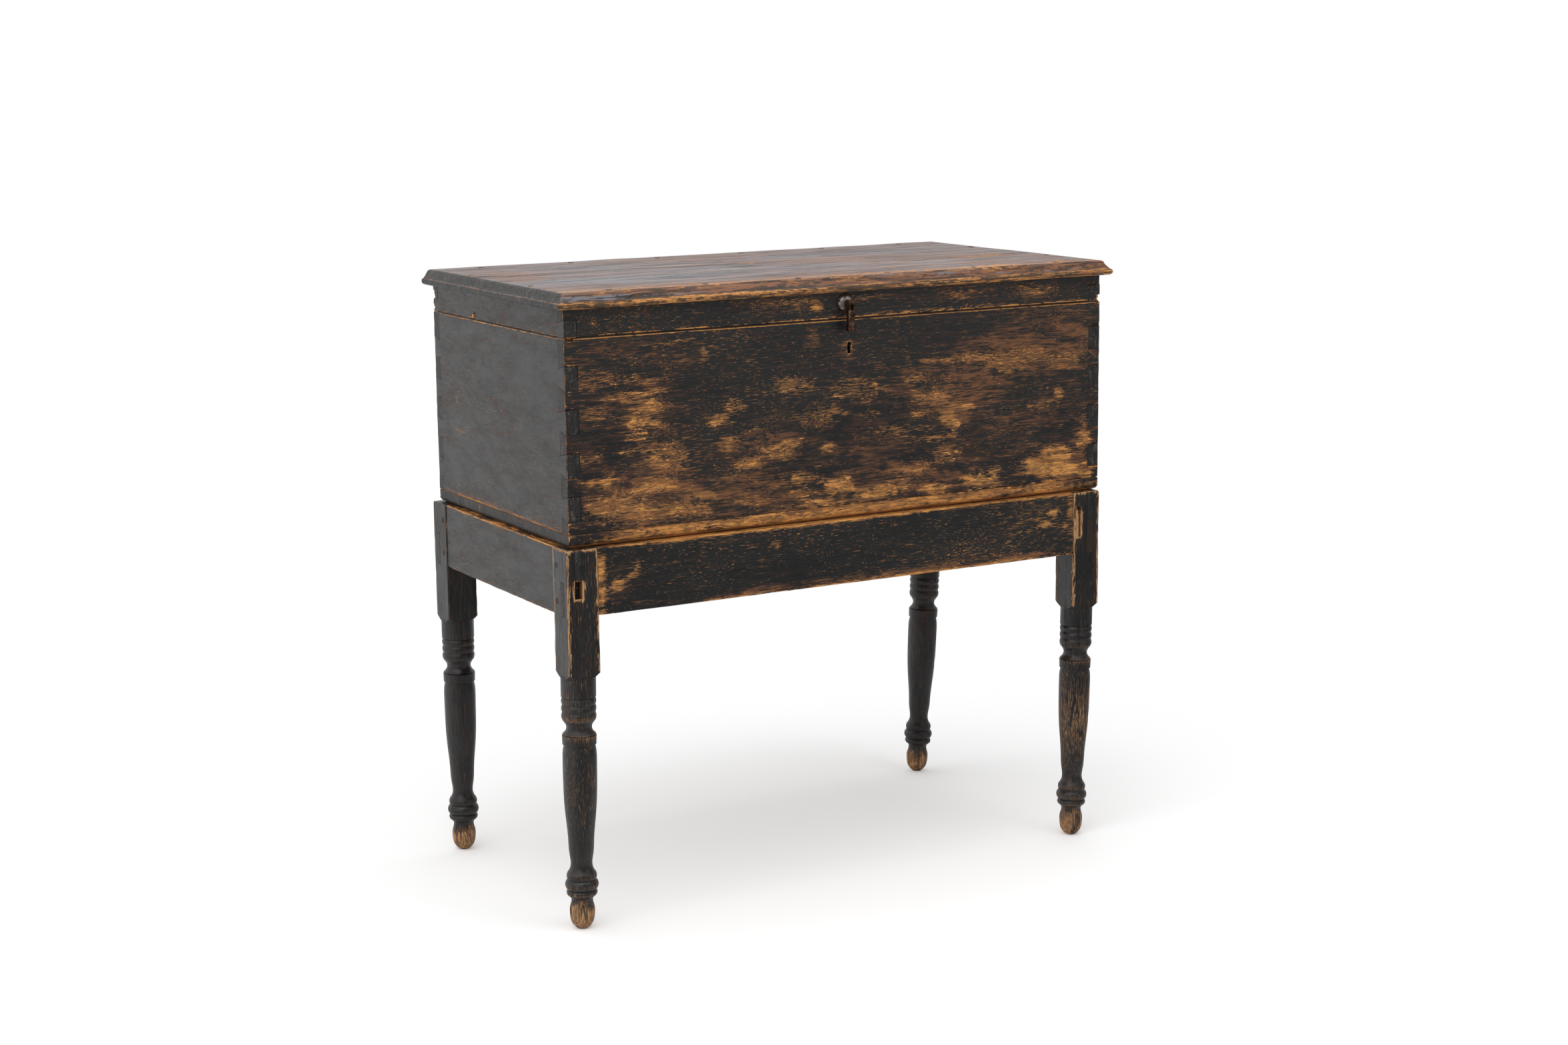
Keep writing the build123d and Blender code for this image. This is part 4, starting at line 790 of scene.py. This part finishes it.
RAIL_GRAIN = {"front": "X", "back": "X", "left": "Y", "right": "Y"}
LID_RAIL_RUBS = (
    (-122, 871, 74, 5, 0.66), (-80, 864, 9, 4, 0.80), (-52, 864, 15, 7, 0.76), (-402, 861, 6, 3, 0.75),
    (60, 870, 40, 4, 0.45), (250, 868, 130, 5, 0.42), (340, 868, 60, 6, 0.50), (150, 846, 280, 2.5, 0.55),
)
LID_RAIL_HAZE = ((-120, 870, 90, 9, 0.65), (200, 868, 200, 9, 0.60), (340, 864, 90, 12, 0.62))
BACK_LEFT_BITES = (
    ((CASE_LEFT - MM, CASE_BACK + MM, SEAM + 24 * MM), 9 * MM),
    ((CASE_LEFT - MM, CASE_BACK + MM, SEAM + 6 * MM), 6 * MM),
)
LID_FRAME_BITES = {
    "front": (),
    "back": BACK_LEFT_BITES,
    "left": (((CASE_LEFT - MM, 80 * MM, SEAM + 6 * MM), 6 * MM), *BACK_LEFT_BITES),
    "right": (((CASE_RIGHT + MM, CASE_FRONT - MM, SEAM + 3 * MM), 8 * MM),),
}
LID_RUBS = (
    (356, -48, 60, 22, 0.50), (300, -150, 160, 24, 0.34), (-250, -195, 200, 16, 0.40),
    (100, 60, 220, 30, 0.25), (-400, 60, 40, 90, 0.30), (120, -205, 320, 14, 0.45),
)
MOULDING = 16 * MM             # width of the moulding at the lid's edges
BEAD_HEIGHT = 10.2 * MM
BEAD_DEPTH = 12 * MM
EDGE_STRIP = 21 * MM           # from the front, where hands rub the top's edge
EDGE_STRIP_REACH = 11 * MM


def lid_wear(points):
    """Wear of the lid: a bare bead and top edge along the front, black film left in the hollow between."""
    inward = points[:, 1] - LID_FRONT
    up = points[:, 2] - LID_BASE
    on_top = inward >= MOULDING - 0.5 * MM
    bead = (up < BEAD_HEIGHT) & (inward < BEAD_DEPTH)
    hollow = (up >= BEAD_HEIGHT) & ~on_top
    depth = np.clip((LID_TOP - MM - points[:, 2]) / (6 * MM), 0, 1)
    strip = 0.75 * np.exp(-((inward - EDGE_STRIP) / EDGE_STRIP_REACH) ** 2) * on_top
    rub = np.maximum(np.maximum(0.95 * bead, strip), rubbed(points, (0, 1), LID_RUBS, 77))
    return rub * ~hollow + 0.40 * hollow, (0.05 + 0.5 * depth) * hollow + 0.6 * bead


class CHEST_OT_lid(Operator):
    """Dress the moulded lid board and its frame"""

    bl_idname = "chest.lid"
    bl_label = "Lid"

    def execute(self, context):
        inside = bare_pine("aged_pine_inside_lid", "X", (0.05, 0.60), 35)
        top = scrubbed_lid_pine("scrubbed_pine_lid", 13)
        ends = painted_end_grain("weathered_pine_lid_ends", 92, "2b2a29", (26 * MM, 12 * MM))
        left_end, right_end = low("lid_board").x + MOULDING, high("lid_board").x - MOULDING

        def sort(place, normal):
            if abs(normal.x) > 0.15 and not left_end < place.x < right_end:
                return 2
            return int(normal.z < -0.9 and place.y > CASE_FRONT + BOARD)
        dress("lid_board", (top, inside, ends), 21, worn_by=lid_wear, sort=sort, sway=0.5)
        rail_ends = painted_end_grain("painted_pine_sawn_lid_ends", 93)
        for i, (side, grain) in enumerate(RAIL_GRAIN.items()):
            worn, scratches, rubs, haze = (
                (0.0, 0.5, LID_RAIL_RUBS, LID_RAIL_HAZE) if side == "front" else (-0.12, 0.25, (), ()))
            paint = painted_pine("painted_pine_planed_lid_" + side, grain, (0.1, 0.72 + 0.05 * i), 40 + i,
                                 worn=worn, edge_wear=0.33, scratches=scratches)
            along = ALONG[grain][0]
            dress("lid_rail_" + side, (paint, paint, rail_ends), 22 + i, axes=(along, 2),
                  sort=board_sides(along), bites=LID_FRAME_BITES[side], rubs=rubs, haze=haze)
        return {"FINISHED"}


class CHEST_OT_inside(Operator):
    """Dress the bottom boards and the divider between the bins"""

    bl_idname = "chest.inside"
    bl_label = "Bottom and divider"

    def execute(self, context):
        floor = bare_pine("aged_pine_bottom", "X", (0.0, 0.35), 50)
        nosing = painted_pine("painted_pine_moulded_bottom", "X", (0.0, 0.35), 52)
        ends = painted_end_grain("painted_pine_sawn_bottom_ends", 94, "232120", (60 * MM, 6 * MM))
        middle = (STAND_TOP + CASE_BASE) / 2 / MM

        def on_face(place, normal):
            return abs(normal.z) > 0.5 and place.y > CASE_FRONT + MM
        for i, part in enumerate(("front", "middle", "back")):
            dress("bottom_board_" + part, (nosing, floor, ends), 30 + i, 7, sort=board_sides(0, on_face),
                  rubs=((0, middle, 480, 14, 0.94),), haze=((0, middle, 520, 30, 1.0),))
        divider = bare_pine("aged_pine_divider", "Y", (0.1, 0.4), 55, "b08055", "855633")
        dress("bin_divider", (divider,), 34, axes=(1, 2))
        return {"FINISHED"}


RAIL_RUBS = (
    (-408, 505, 5, 70, 0.98), (-353, 512, 10, 10, 0.85), (-380, 497, 14, 7, 0.84), (-392, 519, 8, 5, 0.74),
    (358, 522, 6, 5, 0.74), (348, 509, 16, 2, 0.78), (384, 500, 5, 6, 0.70), (-126, 527, 7, 5, 0.64),
    (100, 457, 320, 3, 0.62), (393, 520, 4, 30, 0.62), (0, 550, 480, 2.5, 0.95),
)
RAIL_HAZE = ((-385, 505, 30, 40, 0.4), (100, 461, 330, 8, 0.9), (395, 515, 8, 45, 0.7))
SIDE_RAIL_RUBS = ((0, 550, 250, 1.5, 0.90), (-40, 456, 160, 2, 0.30))
SIDE_RAIL_HAZE = ((0, 505, 230, 45, 0.08), (-60, 459, 160, 5, 0.3))
THROUGH_LEG = 60 * MM          # a line this long crosses any mortise
RUBBED_LEG = {"edge_wear": 1.65, "edge_reach": 8.0, "scratches": 0.4}
# the back legs take a darker black than the front legs and the boards
SOUND_LEG = {"edge_wear": 0.7, "scratches": 0.1, "paint": "0e0f10"}
# How far each leg's vase and rings are rubbed, and how its paint has worn.
LEG_WEAR = {
    "front_left": (0.22, 0.85, RUBBED_LEG), "front_right": (0.60, 0.8, RUBBED_LEG),
    "back_left": (0.04, 0.0, SOUND_LEG), "back_right": (0.0, 0.1, SOUND_LEG),
}


class CHEST_OT_stand(Operator):
    """Dress the rails, turned legs and pegs of the stand"""

    bl_idname = "chest.stand"
    bl_label = "Stand"

    def execute(self, context):
        ends = painted_end_grain("painted_pine_sawn_tenons", 95, "1c1b1a")
        for i, (side, grain) in enumerate(RAIL_GRAIN.items()):
            scratches, rubs, haze = (
                (0.6, RAIL_RUBS, RAIL_HAZE) if grain == "X" else (0.2, SIDE_RAIL_RUBS, SIDE_RAIL_HAZE))
            paint = painted_pine("painted_pine_planed_rail_" + side, grain, (0.1, 0.42 + 0.05 * i), 60 + i,
                                 worn=-0.12, thin_all=-0.1, scratches=scratches)
            along = ALONG[grain][0]
            dress("rail_" + side, (paint, paint, ends), 40 + i, axes=(along, 2), sort=board_sides(along),
                  rubs=rubs, haze=haze)
        broken = bare_pine("birch_broken_in_mortise", "Z", (0.1, 0.2), 75, "a87850", "74492f")
        for i, (corner, (vase, crests, wear)) in enumerate(LEG_WEAR.items()):
            turned = painted_pine("painted_birch_turned_" + corner, "Z", (0.05, 0.1), 70 + i, worn=-0.22,
                                  roughness=0.4, wood_colours=("b58c60", "92693f"), cracks=(0.03, 0.9),
                                  dash_size=LEG_DASH, **wear)
            node = "leg_" + corner

            def in_mortise(place, normal):
                """Inside a mortise, the leg itself is what lies straight ahead."""
                if place.z < SHOULDER:
                    return 0
                return int(tree_of(node).ray_cast(place + normal * MM, normal, THROUGH_LEG)[0] is not None)
            dress(node, (turned, broken), 50 + i, floor=SHOULDER, wear=1.1, sort=in_mortise,
                  worn_by=lambda points: turned_wear(points, vase, crests))
        end_grain = painted_pine("painted_oak_split_pegs", "Z", (0.0, 0.0), 80, worn=0.2)
        for name in ("tenon_pegs", "mortise_slip"):
            NODES[name].data.materials.clear()
            NODES[name].data.materials.append(end_grain)
        return {"FINISHED"}


class CHEST_OT_metal(Operator):
    """Finish the hinges, lock, nails and pull"""

    bl_idname = "chest.metal"
    bl_label = "Iron and brass"

    def execute(self, context):
        finishes = {
            "rusted_iron": rusted_iron("wrought_iron_rusted"),
            "patinated_brass": aged_brass("brass_cast_patinated", "7a5f4e", "43302a", 0.46),
            "worn_brass": aged_brass("brass_stamped_worn", "9a9088", "4c4340", 0.56),
        }
        for name, node in NODES.items():
            if SLOT[name] in finishes:
                node.data.materials.clear()
                node.data.materials.append(finishes[SLOT[name]])
                for polygon in node.data.polygons:
                    polygon.use_smooth = True
        return {"FINISHED"}


# ---- Stage --------------------------------------------------------------------------------------
# A studio that is white behind and to the left, and dim where the viewer stands, so that black paint stays
# black in front and shines softly on the side.
BRIGHT_SIDE = (-0.35, 0.94, 0.0)
DIM = 0.22
GLOW = 0.24                    # of the floor near the chest, for the camera only
PAPER = (0.8, 0.8, 0.8, 1)
OVAL = (1.0, 1.5, 0.0)         # the floor's near part is wider than deep
NEAR_END, FAR_START = 0.55, 1.35       # metres from the chest's middle, between which the paper goes white
FLOOR_SIDE = 20                # metres from the middle to the floor's edge
LAMPS = (                      # name, place, aim, size in metres, power in watts
    ("key", (-2.6, -1.8, 2.6), (0, 0, 0.5), 3.2, 40),
    ("fill", (1.8, -3.2, 1.8), (0, 0, 0.5), 3.0, 16),
    ("top", (-0.1, -0.9, 3.2), (0, 0, 0.6), 3.0, 48),
)


def room_level(tree, direction, rays):
    """How bright the room is in a direction: white for the camera, else dim on the viewer's side."""
    toward = put(tree, "VectorMath", {0: direction, 1: BRIGHT_SIDE}, operation="DOT_PRODUCT")
    level = put(tree, "MapRange", {0: toward.outputs["Value"], 1: -0.7, 2: 0.5, 3: DIM, 4: 1.0}, **SMOOTH)
    return put(tree, "Mix", {0: rays.outputs["Is Camera Ray"], 2: level, 3: 1.0})


def stand_camera(scene, settings):
    """Put the camera in its place, aimed by its yaw, pitch and roll."""
    camera = bpy.data.objects.new("camera", bpy.data.cameras.new("camera"))
    camera.data.sensor_fit = "HORIZONTAL"
    camera.data.sensor_width = 36.0
    camera.data.lens = settings.lens
    camera.data.clip_end = 50
    yaw, pitch, roll = settings.yaw, settings.pitch, settings.roll
    forward = Vector((math.sin(yaw) * math.cos(pitch), math.cos(yaw) * math.cos(pitch), -math.sin(pitch)))
    right = Vector((math.cos(yaw), -math.sin(yaw), 0))
    up = right.cross(forward)
    rolled_right = math.cos(roll) * right + math.sin(roll) * up
    rolled_up = -math.sin(roll) * right + math.cos(roll) * up
    rows = Matrix((rolled_right, rolled_up, -forward)).transposed().to_4x4()
    camera.matrix_world = Matrix.Translation(Vector(settings.camera_place)) @ rows
    scene.collection.objects.link(camera)
    scene.camera = camera


def light_room(scene):
    """The room itself, as a world that gives the soft light from all round."""
    world = bpy.data.worlds.new("studio")
    scene.world = world
    world.use_nodes = True
    tree = world.node_tree
    tree.nodes.clear()
    level = room_level(tree, put(tree, "TexCoord").outputs["Generated"], put(tree, "LightPath"))
    back = put(tree, "Background", {"Color": WHITE, "Strength": level})
    put(tree, "OutputWorld", {"Surface": back})


def matt_paper(name):
    """A roll of matt white paper that goes over into the white room: it takes a soft shadow close by, and
    further off the eye can't tell it from the wall."""
    paper, tree = new_material(name)
    rays = put(tree, "LightPath")
    place = put(tree, "TexCoord").outputs["Object"]
    oval = put(tree, "VectorMath", {0: place, 1: OVAL}, operation="MULTIPLY")
    reach = put(tree, "VectorMath", {0: oval}, operation="LENGTH").outputs["Value"]
    away = put(tree, "MapRange", {0: reach, 1: NEAR_END, 2: FAR_START}, **SMOOTH)
    level = room_level(tree, put(tree, "VectorMath", {0: place}, operation="NORMALIZE"), rays)
    matt = put(tree, "BsdfDiffuse", {"Color": PAPER})
    glow = put(tree, "Emission", {"Color": WHITE, "Strength": GLOW})
    near = put(tree, "AddShader", {0: matt, 1: glow})
    near = put(tree, "MixShader", {0: rays.outputs["Is Camera Ray"], 1: matt, 2: near})
    far = put(tree, "Emission", {"Color": WHITE, "Strength": level})
    seen = put(tree, "MixShader", {0: away, 1: near, 2: far})
    plain = put(tree, "Math", {0: rays.outputs["Is Camera Ray"], 1: rays.outputs["Is Glossy Ray"]},
                operation="MAXIMUM")
    both = put(tree, "MixShader", {0: plain, 1: matt, 2: seen})
    put(tree, "OutputMaterial", {"Surface": both})
    return paper


def lay_floor(scene):
    """The floor under the feet, much wider than the view."""
    mesh = bpy.data.meshes.new("floor")
    corners = [(x * FLOOR_SIDE, y * FLOOR_SIDE, 0) for x, y in ((-1, -1), (1, -1), (1, 1), (-1, 1))]
    mesh.from_pydata(corners, [], [(0, 1, 2, 3)])
    mesh.materials.append(matt_paper("paper_sweep_matt"))
    floor = bpy.data.objects.new("floor", mesh)
    scene.collection.objects.link(floor)


def hang_lamps(scene):
    """Three large soft lamps, each turned to what it lights."""
    for name, place, aim, size, power in LAMPS:
        light = bpy.data.lights.new(name, "AREA")
        light.size = size
        light.energy = power
        lamp = bpy.data.objects.new(name, light)
        lamp.location = place
        lamp.rotation_euler = (Vector(aim) - Vector(place)).to_track_quat("-Z", "Y").to_euler()
        scene.collection.objects.link(lamp)


class CHEST_OT_stage(Operator):
    """Set up the camera, the floor and soft studio light"""

    bl_idname = "chest.stage"
    bl_label = "Camera, floor and light"

    def execute(self, context):
        context.scene.view_settings.view_transform = "Standard"
        stand_camera(context.scene, stage())
        light_room(context.scene)
        lay_floor(context.scene)
        hang_lamps(context.scene)
        return {"FINISHED"}


class CHEST_PT_panel(Panel):
    """Sizes, colours and steps of the chest"""

    bl_idname = "CHEST_PT_panel"
    bl_label = "Sugar chest"
    bl_space_type = "VIEW_3D"
    bl_region_type = "UI"
    bl_category = "Chest"

    def draw(self, context):
        for group in (finish(), stage()):
            for key in group.bl_rna.properties.keys():
                if key not in ("rna_type", "name"):
                    self.layout.prop(group, key)
        for step_class in STEPS:
            self.layout.operator(step_class.bl_idname)


STEPS = (CHEST_OT_stage, CHEST_OT_case, CHEST_OT_lid, CHEST_OT_inside, CHEST_OT_stand, CHEST_OT_metal)
CLASSES = (ChestFinish, ChestStage, *STEPS, CHEST_PT_panel)


def register():
    """Add the classes, and the settings to the scene."""
    for c in CLASSES:
        bpy.utils.register_class(c)
    bpy.types.Scene.chest_finish = PointerProperty(type=ChestFinish)
    bpy.types.Scene.chest_stage = PointerProperty(type=ChestStage)


def unregister():
    """Take out what register adds."""
    del bpy.types.Scene.chest_finish
    del bpy.types.Scene.chest_stage
    for c in reversed(CLASSES):
        bpy.utils.unregister_class(c)


def main():
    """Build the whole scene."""
    register()
    bpy.ops.chest.stage()
    bpy.ops.chest.case()
    bpy.ops.chest.lid()
    bpy.ops.chest.inside()
    bpy.ops.chest.stand()
    bpy.ops.chest.metal()


if __name__ == "__main__":
    main()
